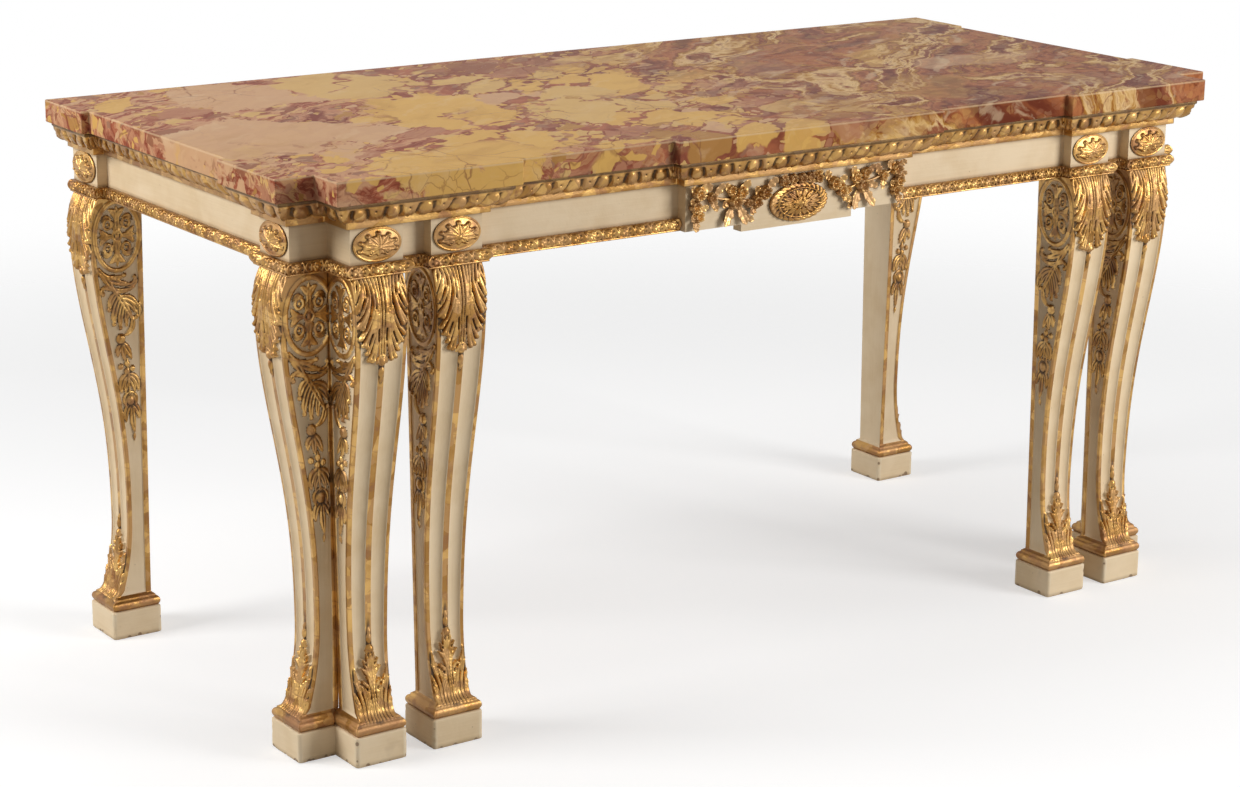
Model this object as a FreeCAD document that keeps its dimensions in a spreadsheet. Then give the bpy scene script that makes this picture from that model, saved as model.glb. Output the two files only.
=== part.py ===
import FreeCAD, Part
import math
import os
from collections import namedtuple

import Sketcher

DOC = FreeCAD.newDocument("side_table")
SHEET = DOC.addObject("Spreadsheet::Sheet", "sizes")

# Driving sizes, in millimetres.
SIZES = {
    # Marble top
    "top_width": 1824,
    "top_depth": 832,
    "table_height": 900,
    "top_thickness": 36,
    "top_overhang": 44,
    "top_back_overhang": 4,
    "top_recess": 14,
    "top_eased_edge": 2,
    # Frieze: blocks over the legs and the rails set back between them
    "block_size": 87,
    "block_gap": 47,
    "corner_step_x": 62,
    "corner_step_y": 65,
    "side_recess": 18,
    "front_recess": 20,
    "apron_height": 115.5,
    "rail_thickness": 30,
    "tenon_length": 25,
    "tenon_thickness": 12,
    "tenon_height": 56,
    "tenon_shoulder": 14,
    "joint_clearance": 0.2,
    "piece_clearance": 0.3,
    # Mouldings
    "cornice_height": 42,
    "cornice_reach": 38,
    "bead_height": 19,
    "bead_reach": 12,
    # Tablet in the middle of the front
    "tablet_width": 436,
    "tablet_drop_width": 220,
    "tablet_drop": 11.5,
    "medallion_width": 113,
    "medallion_height": 61,
    "medallion_edge": 6,
    "medallion_dome": 7,
    "flower_radius": 9.5,
    "flower_stand": 3,
    # Oval ornaments on the blocks
    "patera_width": 80,
    "patera_height": 52,
    "patera_edge": 3,
    "patera_dome": 7,
    # Legs and feet
    "leg_depth": 76,
    "leg_foot_width": 62,
    "leg_bulge": 14,
    "leg_waist_setback": 38,
    "leg_foot_setback": 22,
    "leg_waist_height": 200,
    "leg_scroll_drop": 58.5,
    "flute_depth": 5,
    "flute_edge": 7,
    "flute_rib": 11,
    "panel_border": 9,
    "panel_depth": 3,
    "panel_foot": 130,
    "panel_drop": 108.5,
    "plinth_size": 88,
    "plinth_height": 48,
    "plinth_round": 3,
    "foot_torus": 15.5,
    "foot_fillet": 3.5,
    "foot_scotia": 17,
    # Dowels and cross braces
    "leg_dowel_diameter": 12,
    "leg_dowel_length": 70,
    "leg_dowel_spacing": 40,
    "leg_dowel_setback": 34,
    "plinth_dowel_diameter": 16,
    "plinth_dowel_length": 48,
    "plinth_dowel_setback": 50,
    "brace_offset": 300,
    "brace_width": 60,
    "brace_height": 40,
    "brace_housing": 12,
}

# Positions that follow from the driving sizes.
DERIVED = {
    "face_x": "top_width / 2 - top_overhang",
    "face_y": "top_depth / 2 - top_overhang",
    "back_y": "top_depth / 2 - top_back_overhang",
    "top_under": "table_height - top_thickness",
    "apron_bottom": "top_under - apron_height",
    "cornice_bottom": "top_under - cornice_height",
    "bead_top": "apron_bottom + bead_height",
    "frieze_middle": "(bead_top + cornice_bottom) / 2",
    "rail_x": "face_x - side_recess",
    "rail_y": "face_y - front_recess",
    "rail_back_x": "rail_x - rail_thickness",
    "rail_back_y": "rail_y - rail_thickness",
    "backrail_front": "back_y - rail_thickness",
    "outer_far": "face_x - corner_step_x",
    "outer_near": "outer_far - block_size",
    "inner_far": "outer_near - block_gap",
    "inner_near": "inner_far - block_size",
    "side_front": "face_y - corner_step_y",
    "side_back": "side_front - block_size",
    "rear_front": "back_y - block_size",
    "post_near": "face_x - block_size",
    "halving": "apron_bottom + apron_height / 2",
    "tablet_x": "tablet_width / 2",
    "drop_x": "tablet_drop_width / 2",
    "tablet_bottom": "apron_bottom - tablet_drop",
    "tenon_top": "top_under - tenon_shoulder",
    "tenon_bottom": "tenon_top - tenon_height",
    "brace_bottom": "top_under - brace_height",
    "foot_top": "plinth_height + foot_torus + foot_fillet + foot_scotia",
    "leg_scroll_height": "apron_bottom - leg_scroll_drop",
    "panel_top": "apron_bottom - panel_drop",
    "flower_pitch": "1.5 * flower_radius",
}

for row, (alias, size) in enumerate(SIZES.items(), start=1):
    SHEET.set(f"A{row}", alias)
    SHEET.set(f"B{row}", str(size))
    SHEET.setAlias(f"B{row}", alias)
for row, (alias, formula) in enumerate(DERIVED.items(), start=1):
    SHEET.set(f"C{row}", alias)
    SHEET.set(f"D{row}", f"={formula}")
    SHEET.setAlias(f"D{row}", alias)
DOC.recompute()

PIECES = []
SIDES = {"left": -1, "right": 1}
FRONT = FreeCAD.Vector(0, -1, 0)
UP = FreeCAD.Vector(0, 0, 1)
UPRIGHT = FreeCAD.Placement(FreeCAD.Vector(), FreeCAD.Rotation(FreeCAD.Vector(1, 0, 0), 90))

# A leg is placed by the point of the block face above its middle and by the way it faces.
Leg = namedtuple("Leg", "name turn x y")
LEGS = {}
for hand, sign in SIDES.items():
    outer_mid = f"{sign} * (sizes.outer_far + sizes.outer_near) / 2"
    inner_mid = f"{sign} * (sizes.inner_far + sizes.inner_near) / 2"
    flank = f"{sign} * sizes.face_x"
    rear_mid = "(sizes.rear_front + sizes.back_y) / 2"
    side_mid = "-(sizes.side_front + sizes.side_back) / 2"
    for leg in (
        Leg(f"back_{hand}", 90 * sign, flank, rear_mid),
        Leg(f"side_{hand}", 90 * sign, flank, side_mid),
        Leg(f"front_{hand}_outer", 0, outer_mid, "-sizes.face_y"),
        Leg(f"front_{hand}_inner", 0, inner_mid, "-sizes.face_y"),
    ):
        LEGS[leg.name] = leg


def size_of(name):
    """Number that the sheet holds under an alias."""
    return float(SHEET.get(name))


def publish(label, item):
    """Name a finished piece and put it on the list of pieces to write."""
    item.Label = label
    PIECES.append(item)
    return item


def box(name, low, high):
    """Box between two corners, each given as three formulas of the sheet."""
    item = DOC.addObject("Part::Box", name)
    for side, start, end in zip(("Length", "Width", "Height"), low, high):
        item.setExpression(side, f"({end}) - ({start})")
    for axis, start in zip("xyz", low):
        item.setExpression(f"Placement.Base.{axis}", start)
    return item


def reach(sign, near, far):
    """Lower and upper formulas of a span on one side of the middle plane."""
    return (near, far) if sign > 0 else (f"-({far})", f"-({near})")


def peg(name, diameter, x, y, bottom, top):
    """Upright cylinder between two heights."""
    item = DOC.addObject("Part::Cylinder", name)
    item.setExpression("Radius", f"({diameter}) / 2")
    item.setExpression("Height", f"({top}) - ({bottom})")
    for axis, formula in zip("xyz", (x, y, bottom)):
        item.setExpression(f"Placement.Base.{axis}", formula)
    return item


def group(name, items):
    """Several solids kept side by side as one object."""
    item = DOC.addObject("Part::Compound", name)
    item.Links = items
    return item


def joined(name, items):
    """Several solids made one."""
    item = DOC.addObject("Part::MultiFuse", name)
    item.Shapes = items
    return item


def cut(name, base, tools):
    """A solid less its joints and holes."""
    item = DOC.addObject("Part::Cut", name)
    item.Base = base
    item.Tool = tools[0] if len(tools) == 1 else group(f"{name}_tools", tools)
    return item


def shared(name, first, second):
    """What two solids have in common."""
    item = DOC.addObject("Part::Common", name)
    item.Base = first
    item.Tool = second
    return item


def mirrored(name, source):
    """The same piece on the other side of the middle plane."""
    item = DOC.addObject("Part::Mirroring", name)
    item.Source = source
    item.Normal = FreeCAD.Vector(1, 0, 0)
    return item


def at_leg(name, master, leg):
    """A piece drawn in front of a block face, set over one of the legs."""
    item = group(name, [master])
    item.Placement = FreeCAD.Placement(FreeCAD.Vector(), FreeCAD.Rotation(UP, leg.turn))
    item.setExpression("Placement.Base.x", leg.x)
    item.setExpression("Placement.Base.y", leg.y)
    return item


def outline(name, corners, closed=True, body=None):
    """Sketch of straight lines whose corners are held by formulas of the sheet."""
    kind = "Sketcher::SketchObject"
    sketch = body.newObject(kind, name) if body else DOC.addObject(kind, name)
    count = len(corners)
    radius = size_of("block_size")
    ring = []
    for index in range(count):
        turn = 2 * math.pi * index / count
        ring.append(FreeCAD.Vector(radius * math.cos(turn), radius * math.sin(turn), 0))
    lines = count if closed else count - 1
    for index in range(lines):
        sketch.addGeometry(Part.LineSegment(ring[index], ring[(index + 1) % count]), False)
    for index in range(lines if closed else lines - 1):
        sketch.addConstraint(Sketcher.Constraint("Coincident", index, 2, (index + 1) % lines, 1))
    for index, (across, along) in enumerate(corners):
        line, end = (index, 1) if index < lines else (index - 1, 2)
        for kind, formula in (("DistanceX", across), ("DistanceY", along)):
            start = ring[index].x if kind == "DistanceX" else ring[index].y
            number = sketch.addConstraint(Sketcher.Constraint(kind, -1, 1, line, end, start))
            label = f"{kind}{index}"
            sketch.renameConstraint(number, label)
            sketch.setExpression(f"Constraints.{label}", formula)
    return sketch


def prism(name, corners, bottom, top):
    """Upright prism over a plan outline."""
    plan = outline(f"{name}_plan", corners)
    plan.setExpression("Placement.Base.z", bottom)
    item = DOC.addObject("Part::Extrusion", name)
    item.Base = plan
    item.DirMode = "Custom"
    item.Dir = UP
    item.setExpression("LengthFwd", f"({top}) - ({bottom})")
    item.Solid = True
    return item


def swept(name, path, profile):
    """Moulding run along a plan path with mitred corners."""
    spine = outline(f"{name}_path", path, closed=False)
    section = outline(f"{name}_section", profile)
    section.Placement = UPRIGHT
    section.setExpression("Placement.Base.y", "sizes.back_y")
    item = DOC.addObject("Part::Sweep", name)
    item.Sections = [section]
    item.Spine = (spine, [f"Edge{index}" for index in range(1, len(path))])
    item.Solid = True
    item.Transition = "Right corner"
    return item


def both_sides(half):
    """Left half of a plan path carried round to the right."""
    return half + [(f"-({across})", along) for across, along in reversed(half)]


# Marble slab: its plan follows the frieze below, less deeply recessed.
top_side = "sizes.top_width / 2"
top_side_set = "sizes.top_width / 2 - sizes.top_recess"
top_front = "-sizes.top_depth / 2"
top_front_set = "-sizes.top_depth / 2 + sizes.top_recess"
top_half = [
    (f"-({top_side})", "sizes.top_depth / 2"),
    (f"-({top_side})", "sizes.rear_front - sizes.top_overhang"),
    (f"-({top_side_set})", "sizes.rear_front - sizes.top_overhang"),
    (f"-({top_side_set})", "-sizes.side_back + sizes.top_overhang"),
    (f"-({top_side})", "-sizes.side_back + sizes.top_overhang"),
    (f"-({top_side})", "-sizes.side_front - sizes.top_overhang"),
    ("-sizes.outer_far - sizes.top_overhang", "-sizes.side_front - sizes.top_overhang"),
    ("-sizes.outer_far - sizes.top_overhang", top_front),
    ("-sizes.inner_near + sizes.top_overhang", top_front),
    ("-sizes.inner_near + sizes.top_overhang", top_front_set),
    ("-sizes.tablet_x - sizes.top_overhang", top_front_set),
    ("-sizes.tablet_x - sizes.top_overhang", top_front),
]
slab = DOC.addObject("PartDesign::Body", "slab")
slab_plan = outline("slab_plan", both_sides(top_half), body=slab)
slab_plan.AttachmentSupport = (slab.Origin.OriginFeatures[3], [""])
slab_plan.MapMode = "FlatFace"
slab_pad = slab.newObject("PartDesign::Pad", "slab_pad")
slab_pad.Profile = slab_plan
slab_pad.setExpression("Length", "sizes.top_thickness")
DOC.recompute()
slab_edge = slab.newObject("PartDesign::Fillet", "slab_edge")
slab_edge.Base = (slab_pad, [f"Edge{index + 1}" for index in range(len(slab_pad.Shape.Edges))])
slab_edge.setExpression("Radius", "sizes.top_eased_edge")
slab.setExpression("Placement.Base.z", "sizes.top_under")
publish("marble_top", slab)

# Dowels that tie the legs to the blocks above and to the plinths below.
dowel_y = "sizes.leg_dowel_setback"
dowel_low = "sizes.apron_bottom - sizes.leg_dowel_length / 2"
dowel_high = "sizes.apron_bottom + sizes.leg_dowel_length / 2"
dowel_pair = []
hole_pair = []
for hand, sign in SIDES.items():
    across = f"{sign} * sizes.leg_dowel_spacing / 2"
    hole_size = "sizes.leg_dowel_diameter + sizes.joint_clearance"
    span = (across, dowel_y, dowel_low, dowel_high)
    dowel_pair.append(peg(f"leg_dowel_{hand}", "sizes.leg_dowel_diameter", *span))
    hole_pair.append(peg(f"leg_hole_{hand}", hole_size, *span))
dowel_master = group("dowel_master", dowel_pair)
hole_master = group("hole_master", hole_pair)
foot_low = "sizes.plinth_height - sizes.plinth_dowel_length / 2"
foot_high = "sizes.plinth_height + sizes.plinth_dowel_length / 2"
foot_span = ("0", "sizes.plinth_dowel_setback", foot_low, foot_high)
foot_dowel = peg("foot_dowel", "sizes.plinth_dowel_diameter", *foot_span)
foot_hole = peg("foot_hole", "sizes.plinth_dowel_diameter + sizes.joint_clearance", *foot_span)
leg_dowels = [at_leg(f"{name}_dowels", dowel_master, leg) for name, leg in LEGS.items()]
publish("leg_dowels", group("leg_dowel_group", leg_dowels))
foot_dowels = [at_leg(f"{name}_foot_dowel", foot_dowel, leg) for name, leg in LEGS.items()]
publish("plinth_dowels", group("foot_dowel_group", foot_dowels))


def tenon(name, axis, low, high, middle, slack="0"):
    """Tenon that runs out of both ends of a rail, or with slack the room for it."""
    half = f"(sizes.tenon_thickness / 2 + {slack})"
    ends = (f"{low} - sizes.tenon_length - {slack}", f"{high} + sizes.tenon_length + {slack}")
    faces = (f"{middle} - {half}", f"{middle} + {half}")
    across, along = (ends, faces) if axis == "x" else (faces, ends)
    heights = (f"sizes.tenon_bottom - {slack}", f"sizes.tenon_top + {slack}")
    return box(name, (across[0], along[0], heights[0]), (across[1], along[1], heights[1]))


# Cross braces under the slab, housed in the front and back rails.
housings = []
for hand, sign in SIDES.items():
    brace_near = "sizes.brace_offset - sizes.brace_width / 2"
    brace_far = "sizes.brace_offset + sizes.brace_width / 2"
    low_x, high_x = reach(sign, brace_near, brace_far)
    brace = box(
        f"{hand}_brace",
        (low_x, "-sizes.rail_back_y - sizes.brace_housing", "sizes.brace_bottom"),
        (high_x, "sizes.backrail_front + sizes.brace_housing", "sizes.top_under"),
    )
    publish(f"{hand}_cross_brace", brace)
    housings.append(brace)

# Front rail, halved over the inner blocks and tenoned into the corner blocks.
front_middle = "-(sizes.rail_y + sizes.rail_back_y) / 2"
rail_core = box(
    "front_rail_core",
    ("-sizes.outer_near", "-sizes.rail_y", "sizes.apron_bottom"),
    ("sizes.outer_near", "-sizes.rail_back_y", "sizes.top_under"),
)
front_ends = ("-sizes.outer_near", "sizes.outer_near")
front_tenon = tenon("front_tenon", "x", *front_ends, front_middle)
front_mortise = tenon("front_mortise", "x", *front_ends, front_middle, "sizes.joint_clearance")
notches = []
for hand, sign in SIDES.items():
    low_x, high_x = reach(sign, "sizes.inner_near", "sizes.inner_far")
    notches.append(
        box(
            f"{hand}_rail_notch",
            (low_x, "-sizes.rail_y - 1", "sizes.apron_bottom - 1"),
            (high_x, "-sizes.rail_back_y + 1", "sizes.halving"),
        )
    )
front_solid = joined("front_rail_solid", [rail_core, front_tenon])
publish("front_rail", cut("front_rail_cut", front_solid, notches + housings))

# Back rail between the rear blocks.
back_middle = "(sizes.back_y + sizes.backrail_front) / 2"
back_core = box(
    "back_rail_core",
    ("-sizes.post_near", "sizes.backrail_front", "sizes.apron_bottom"),
    ("sizes.post_near", "sizes.back_y", "sizes.top_under"),
)
back_ends = ("-sizes.post_near", "sizes.post_near")
back_tenon = tenon("back_tenon", "x", *back_ends, back_middle)
back_mortise = tenon("back_mortise", "x", *back_ends, back_middle, "sizes.joint_clearance")
back_solid = joined("back_rail_solid", [back_core, back_tenon])
publish("back_rail", cut("back_rail_cut", back_solid, housings))

# Side rails, and the blocks over the legs that the rails are tenoned into.
leg_holes = {name: at_leg(f"{name}_holes", hole_master, leg) for name, leg in LEGS.items()}
for hand, sign in SIDES.items():
    low_x, high_x = reach(sign, "sizes.rail_back_x", "sizes.rail_x")
    middle = f"{sign} * (sizes.rail_x + sizes.rail_back_x) / 2"
    core = box(
        f"{hand}_rail_core",
        (low_x, "-sizes.side_back", "sizes.apron_bottom"),
        (high_x, "sizes.rear_front", "sizes.top_under"),
    )
    ends = ("-sizes.side_back", "sizes.rear_front")
    side_tenon = tenon(f"{hand}_tenon", "y", *ends, middle)
    side_mortise = tenon(f"{hand}_mortise", "y", *ends, middle, "sizes.joint_clearance")
    publish(f"{hand}_side_rail", joined(f"{hand}_rail_solid", [core, side_tenon]))

    corner_plan = [
        (f"{sign} * sizes.face_x", "-sizes.side_back"),
        (f"{sign} * sizes.face_x", "-sizes.side_front"),
        (f"{sign} * sizes.outer_far", "-sizes.side_front"),
        (f"{sign} * sizes.outer_far", "-sizes.face_y"),
        (f"{sign} * sizes.outer_near", "-sizes.face_y"),
        (f"{sign} * sizes.outer_near", "-sizes.face_y + sizes.block_size"),
        (f"{sign} * sizes.post_near", "-sizes.face_y + sizes.block_size"),
        (f"{sign} * sizes.post_near", "-sizes.side_back"),
    ]
    corner = prism(f"{hand}_corner", corner_plan, "sizes.apron_bottom", "sizes.top_under")
    corner_tools = [
        front_mortise,
        side_mortise,
        leg_holes[f"side_{hand}"],
        leg_holes[f"front_{hand}_outer"],
    ]
    publish(f"front_{hand}_corner_block", cut(f"{hand}_corner_cut", corner, corner_tools))

    low_x, high_x = reach(sign, "sizes.post_near", "sizes.face_x")
    rear = box(
        f"{hand}_rear",
        (low_x, "sizes.rear_front", "sizes.apron_bottom"),
        (high_x, "sizes.back_y", "sizes.top_under"),
    )
    rear_tools = [back_mortise, side_mortise, leg_holes[f"back_{hand}"]]
    publish(f"back_{hand}_block", cut(f"{hand}_rear_cut", rear, rear_tools))

    low_x, high_x = reach(sign, "sizes.inner_near", "sizes.inner_far")
    inner = box(
        f"{hand}_inner",
        (low_x, "-sizes.face_y", "sizes.apron_bottom"),
        (high_x, "-sizes.face_y + sizes.block_size", "sizes.top_under"),
    )
    slot = box(
        f"{hand}_inner_slot",
        (f"{low_x} - 1", "-sizes.rail_y", "sizes.halving"),
        (f"{high_x} + 1", "-sizes.rail_back_y", "sizes.top_under + 1"),
    )
    inner_tools = [slot, leg_holes[f"front_{hand}_inner"]]
    publish(f"front_{hand}_inner_block", cut(f"{hand}_inner_cut", inner, inner_tools))

# Tablet planted on the front rail, with a shallow drop in its middle.
tablet_plan = [
    ("-sizes.tablet_x", "sizes.top_under"),
    ("-sizes.tablet_x", "sizes.apron_bottom"),
    ("-sizes.drop_x", "sizes.apron_bottom"),
    ("-sizes.drop_x", "sizes.tablet_bottom"),
    ("sizes.drop_x", "sizes.tablet_bottom"),
    ("sizes.drop_x", "sizes.apron_bottom"),
    ("sizes.tablet_x", "sizes.apron_bottom"),
    ("sizes.tablet_x", "sizes.top_under"),
]
tablet_face = outline("tablet_face", tablet_plan)
tablet_face.Placement = UPRIGHT
tablet_face.setExpression("Placement.Base.y", "-sizes.rail_y")
tablet = DOC.addObject("Part::Extrusion", "tablet")
tablet.Base = tablet_face
tablet.DirMode = "Custom"
tablet.Dir = FRONT
tablet.setExpression("LengthFwd", "sizes.front_recess")
tablet.Solid = True
publish("tablet_panel", tablet)

# Cornice under the slab and bead along the foot of the frieze.
frieze_side = [
    ("-sizes.face_x", "sizes.back_y"),
    ("-sizes.face_x", "sizes.rear_front"),
    ("-sizes.rail_x", "sizes.rear_front"),
    ("-sizes.rail_x", "-sizes.side_back"),
    ("-sizes.face_x", "-sizes.side_back"),
    ("-sizes.face_x", "-sizes.side_front"),
    ("-sizes.outer_far", "-sizes.side_front"),
    ("-sizes.outer_far", "-sizes.face_y"),
]
cornice_half = frieze_side + [
    ("-sizes.inner_near", "-sizes.face_y"),
    ("-sizes.inner_near", "-sizes.rail_y"),
    ("-sizes.tablet_x", "-sizes.rail_y"),
    ("-sizes.tablet_x", "-sizes.face_y"),
]
bead_half = frieze_side + [
    ("-sizes.outer_near", "-sizes.face_y"),
    ("-sizes.outer_near", "-sizes.rail_y"),
    ("-sizes.inner_far", "-sizes.rail_y"),
    ("-sizes.inner_far", "-sizes.face_y"),
    ("-sizes.inner_near", "-sizes.face_y"),
    ("-sizes.inner_near", "-sizes.rail_y"),
    ("-sizes.tablet_x", "-sizes.rail_y"),
]
# Each profile is given in parts of its reach and height, from the wall out and from the foot up.
CORNICE_PROFILE = [(0, 0), (0.2, 0), (0.2, 0.14), (0.3, 0.18), (0.5, 0.3), (0.68, 0.46), (0.8, 0.64),
                   (0.86, 0.82), (1, 0.84), (1, 1), (0, 1)]
BEAD_PROFILE = [(0, 0), (0.66, 0), (0.66, 0.17), (0.86, 0.24), (1, 0.44), (1, 0.62), (0.86, 0.84),
                (0.55, 1), (0, 1)]


def profile(shares, kind, bottom):
    """Moulding profile standing at the rear left end of its path."""
    return [
        (f"-sizes.face_x - sizes.{kind}_reach * {out}", f"sizes.{bottom} + sizes.{kind}_height * {up}")
        for out, up in shares
    ]


cornice = swept("cornice", both_sides(cornice_half), profile(CORNICE_PROFILE, "cornice", "cornice_bottom"))
bead = swept("bead", bead_half, profile(BEAD_PROFILE, "bead", "apron_bottom"))
mitre = "(sizes.cornice_reach + sizes.bead_reach)"
mitre_half = [
    ("-sizes.outer_far", "-sizes.rail_back_y"),
    ("-sizes.outer_far", "-sizes.face_y"),
    (f"-sizes.outer_far - {mitre}", f"-sizes.face_y - {mitre}"),
]
front_zone = prism("front_zone", both_sides(mitre_half), "sizes.apron_bottom", "sizes.top_under")
left_zone = box(
    "left_zone",
    ("-sizes.top_width", "-sizes.top_depth", "sizes.apron_bottom"),
    ("0", "sizes.top_depth", "sizes.top_under"),
)
publish("front_cornice", shared("cornice_front", cornice, front_zone))
side_cornices = cut("cornice_sides", cornice, [front_zone])
left_cornice = publish("left_cornice", shared("cornice_left", side_cornices, left_zone))
publish("right_cornice", mirrored("cornice_right", left_cornice))
left_bead = publish("left_side_bead", cut("bead_left", bead, [front_zone]))
publish("right_side_bead", mirrored("bead_right", left_bead))
front_bead = publish("front_left_bead", shared("bead_front", bead, front_zone))
publish("front_right_bead", mirrored("bead_front_right", front_bead))


def oval_disc(name, kind, margin, thickness):
    """Upright oval disc as wide and high as an ornament and a margin around it."""
    rim = DOC.addObject("Part::Ellipse", f"{name}_rim")
    rim.setExpression("MajorRadius", f"sizes.{kind}_width / 2 + {margin}")
    rim.setExpression("MinorRadius", f"sizes.{kind}_height / 2 + {margin}")
    rim.Placement = UPRIGHT
    disc = DOC.addObject("Part::Extrusion", f"{name}_disc")
    disc.Base = rim
    disc.DirMode = "Custom"
    disc.Dir = FRONT
    disc.setExpression("LengthFwd", thickness)
    disc.Solid = True
    return disc


def oval(name, kind, centre):
    """Domed oval ornament with an upright edge, lying on a block or tablet face."""
    disc = oval_disc(name, kind, "0", f"sizes.{kind}_edge")
    dome = DOC.addObject("Part::Ellipsoid", f"{name}_dome")
    dome.setExpression("Radius1", f"sizes.{kind}_dome")
    dome.setExpression("Radius2", f"sizes.{kind}_width / 2 - sizes.{kind}_edge / 2")
    dome.setExpression("Radius3", f"sizes.{kind}_height / 2 - sizes.{kind}_edge / 2")
    dome.Angle1 = 0
    dome.Placement = UPRIGHT
    for axis, formula in zip("xyz", centre):
        disc.Base.setExpression(f"Placement.Base.{axis}", formula)
        dome.setExpression(f"Placement.Base.{axis}", formula)
    dome.setExpression("Placement.Base.y", f"{centre[1]} - sizes.{kind}_edge")
    return joined(name, [disc, dome])


patera = oval("patera_master", "patera", ("0", "0", "sizes.frieze_middle"))
for name, leg in LEGS.items():
    publish(f"{name}_patera", at_leg(f"{name}_patera_set", patera, leg))
medallion_middle = "(sizes.tablet_bottom + sizes.cornice_bottom) / 2 - sizes.medallion_edge"
publish("tablet_medallion", oval("medallion", "medallion", ("0", "-sizes.face_y", medallion_middle)))


def blossoms(points):
    """Row of carved blossoms standing on the tablet face, from points in its plane."""
    radius = size_of("flower_radius")
    face = -size_of("face_y")
    balls = []
    for across, up in points:
        centre = FreeCAD.Vector(across, face - size_of("flower_stand"), up)
        balls.append(Part.makeSphere(radius, centre))
    body = balls[0].multiFuse(balls[1:])
    width = size_of("tablet_width")
    keep = Part.makeBox(2 * width, 4 * radius, size_of("table_height"))
    keep.translate(FreeCAD.Vector(-width, face - 4 * radius, 0))
    return body.common(keep).removeSplitter()


def chain(start, end, sag):
    """Points of a hanging chain between two ends, no further apart than a blossom's pitch."""
    reach_along = math.hypot(math.dist(start, end), 4 * sag)
    steps = math.ceil(reach_along / size_of("flower_pitch"))
    points = []
    for step in range(steps + 1):
        share = step / steps
        across = start[0] + (end[0] - start[0]) * share
        up = start[1] + (end[1] - start[1]) * share - 4 * sag * share * (1 - share)
        points.append((across, up))
    return points


# Flower festoons: a pendant at the end, two swags and a crossed drop between them.
spray_z = size_of("cornice_bottom") - size_of("flower_radius")
hang_z = size_of("apron_bottom") + size_of("flower_radius")
pendant_x = -size_of("tablet_x") + 2 * size_of("flower_radius")
spray_x = -size_of("medallion_width") * 0.48
cross_x = (pendant_x + spray_x) / 2
festoon_points = chain((pendant_x, spray_z), (pendant_x, hang_z), 0)
festoon_points += chain((pendant_x, spray_z), (cross_x, spray_z), size_of("flower_radius") * 1.6)[1:]
festoon_points += chain((cross_x, spray_z), (cross_x, hang_z), 0)[1:]
festoon_points += chain((cross_x, spray_z), (spray_x, spray_z), size_of("flower_radius") * 2.2)[1:]
for hand, sign in SIDES.items():
    festoon = DOC.addObject("Part::Feature", f"{hand}_garland")
    festoon.Shape = blossoms([(-sign * across, up) for across, up in festoon_points])
    publish(f"{hand}_festoon", festoon)

# Short row of blossoms between the festoons, let in over the medallion.
spray_end = -spray_x - 2 * size_of("flower_radius") - size_of("piece_clearance")
spray = DOC.addObject("Part::Feature", "spray")
spray.Shape = blossoms(chain((-spray_end, spray_z), (spray_end, spray_z), 0))
medallion_room = oval_disc("medallion_room", "medallion", "sizes.piece_clearance", "2 * sizes.flower_radius")
for axis, formula in zip("xyz", ("0", "-sizes.face_y", medallion_middle)):
    medallion_room.Base.setExpression(f"Placement.Base.{axis}", formula)
publish("medallion_spray", cut("spray_cut", spray, [medallion_room]))


def leg_front(height):
    """How far the front of a leg stands out of the block face at a height."""
    waist = size_of("leg_waist_height")
    scroll = size_of("leg_scroll_height")
    foot = size_of("foot_top")
    low = -size_of("leg_waist_setback")
    high = size_of("leg_bulge")
    if height < waist:
        share = (waist - height) / (waist - foot)
        return low - (low + size_of("leg_foot_setback")) * share ** 2
    if height > scroll:
        share = (height - scroll) / (size_of("apron_bottom") - scroll)
        return high * (1 - share ** 2)
    share = ((height - waist) / (scroll - waist)) ** 1.25
    return low + (high - low) * (1 - math.cos(math.pi * share)) / 2


def leg_half_width(height):
    """Half of a leg's width at a height; it widens evenly from the foot to the block."""
    foot = size_of("foot_top")
    share = (height - foot) / (size_of("apron_bottom") - foot)
    return (size_of("leg_foot_width") + (size_of("block_size") - size_of("leg_foot_width")) * share) / 2


def closed_wire(points, hollows):
    """Closed plan wire; each hollow gives the line that is bowed inward and by how much."""
    edges = []
    for index, start in enumerate(points):
        end = points[(index + 1) % len(points)]
        if index in hollows:
            middle = (start + end) * 0.5 + FreeCAD.Vector(0, hollows[index], 0)
            edges.append(Part.Arc(start, middle, end).toShape())
        else:
            edges.append(Part.LineSegment(start, end).toShape())
    return Part.Wire(edges)


def leg_section(height):
    """Plan of a leg at a height: two flutes between fillets on its front."""
    half = leg_half_width(height)
    front = -leg_front(height)
    edge = size_of("flute_edge")
    rib = size_of("flute_rib") / 2
    fade = (height - size_of("panel_top")) / (size_of("apron_bottom") - size_of("panel_top"))
    hollow = size_of("flute_depth") * (1 - 0.85 * min(max(fade, 0), 1))
    stops = (-half, -half + edge, -rib, rib, half - edge, half)
    points = [FreeCAD.Vector(-half, size_of("leg_depth"), height)]
    points += [FreeCAD.Vector(across, front, height) for across in stops]
    points.append(FreeCAD.Vector(half, size_of("leg_depth"), height))
    return closed_wire(points, {2: hollow, 4: hollow})


def foot_section(height, half, front, back):
    """Rectangular plan of the foot moulding at a height."""
    corners = ((-half, back), (-half, front), (half, front), (half, back))
    return closed_wire([FreeCAD.Vector(across, along, height) for across, along in corners], {})


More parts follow.
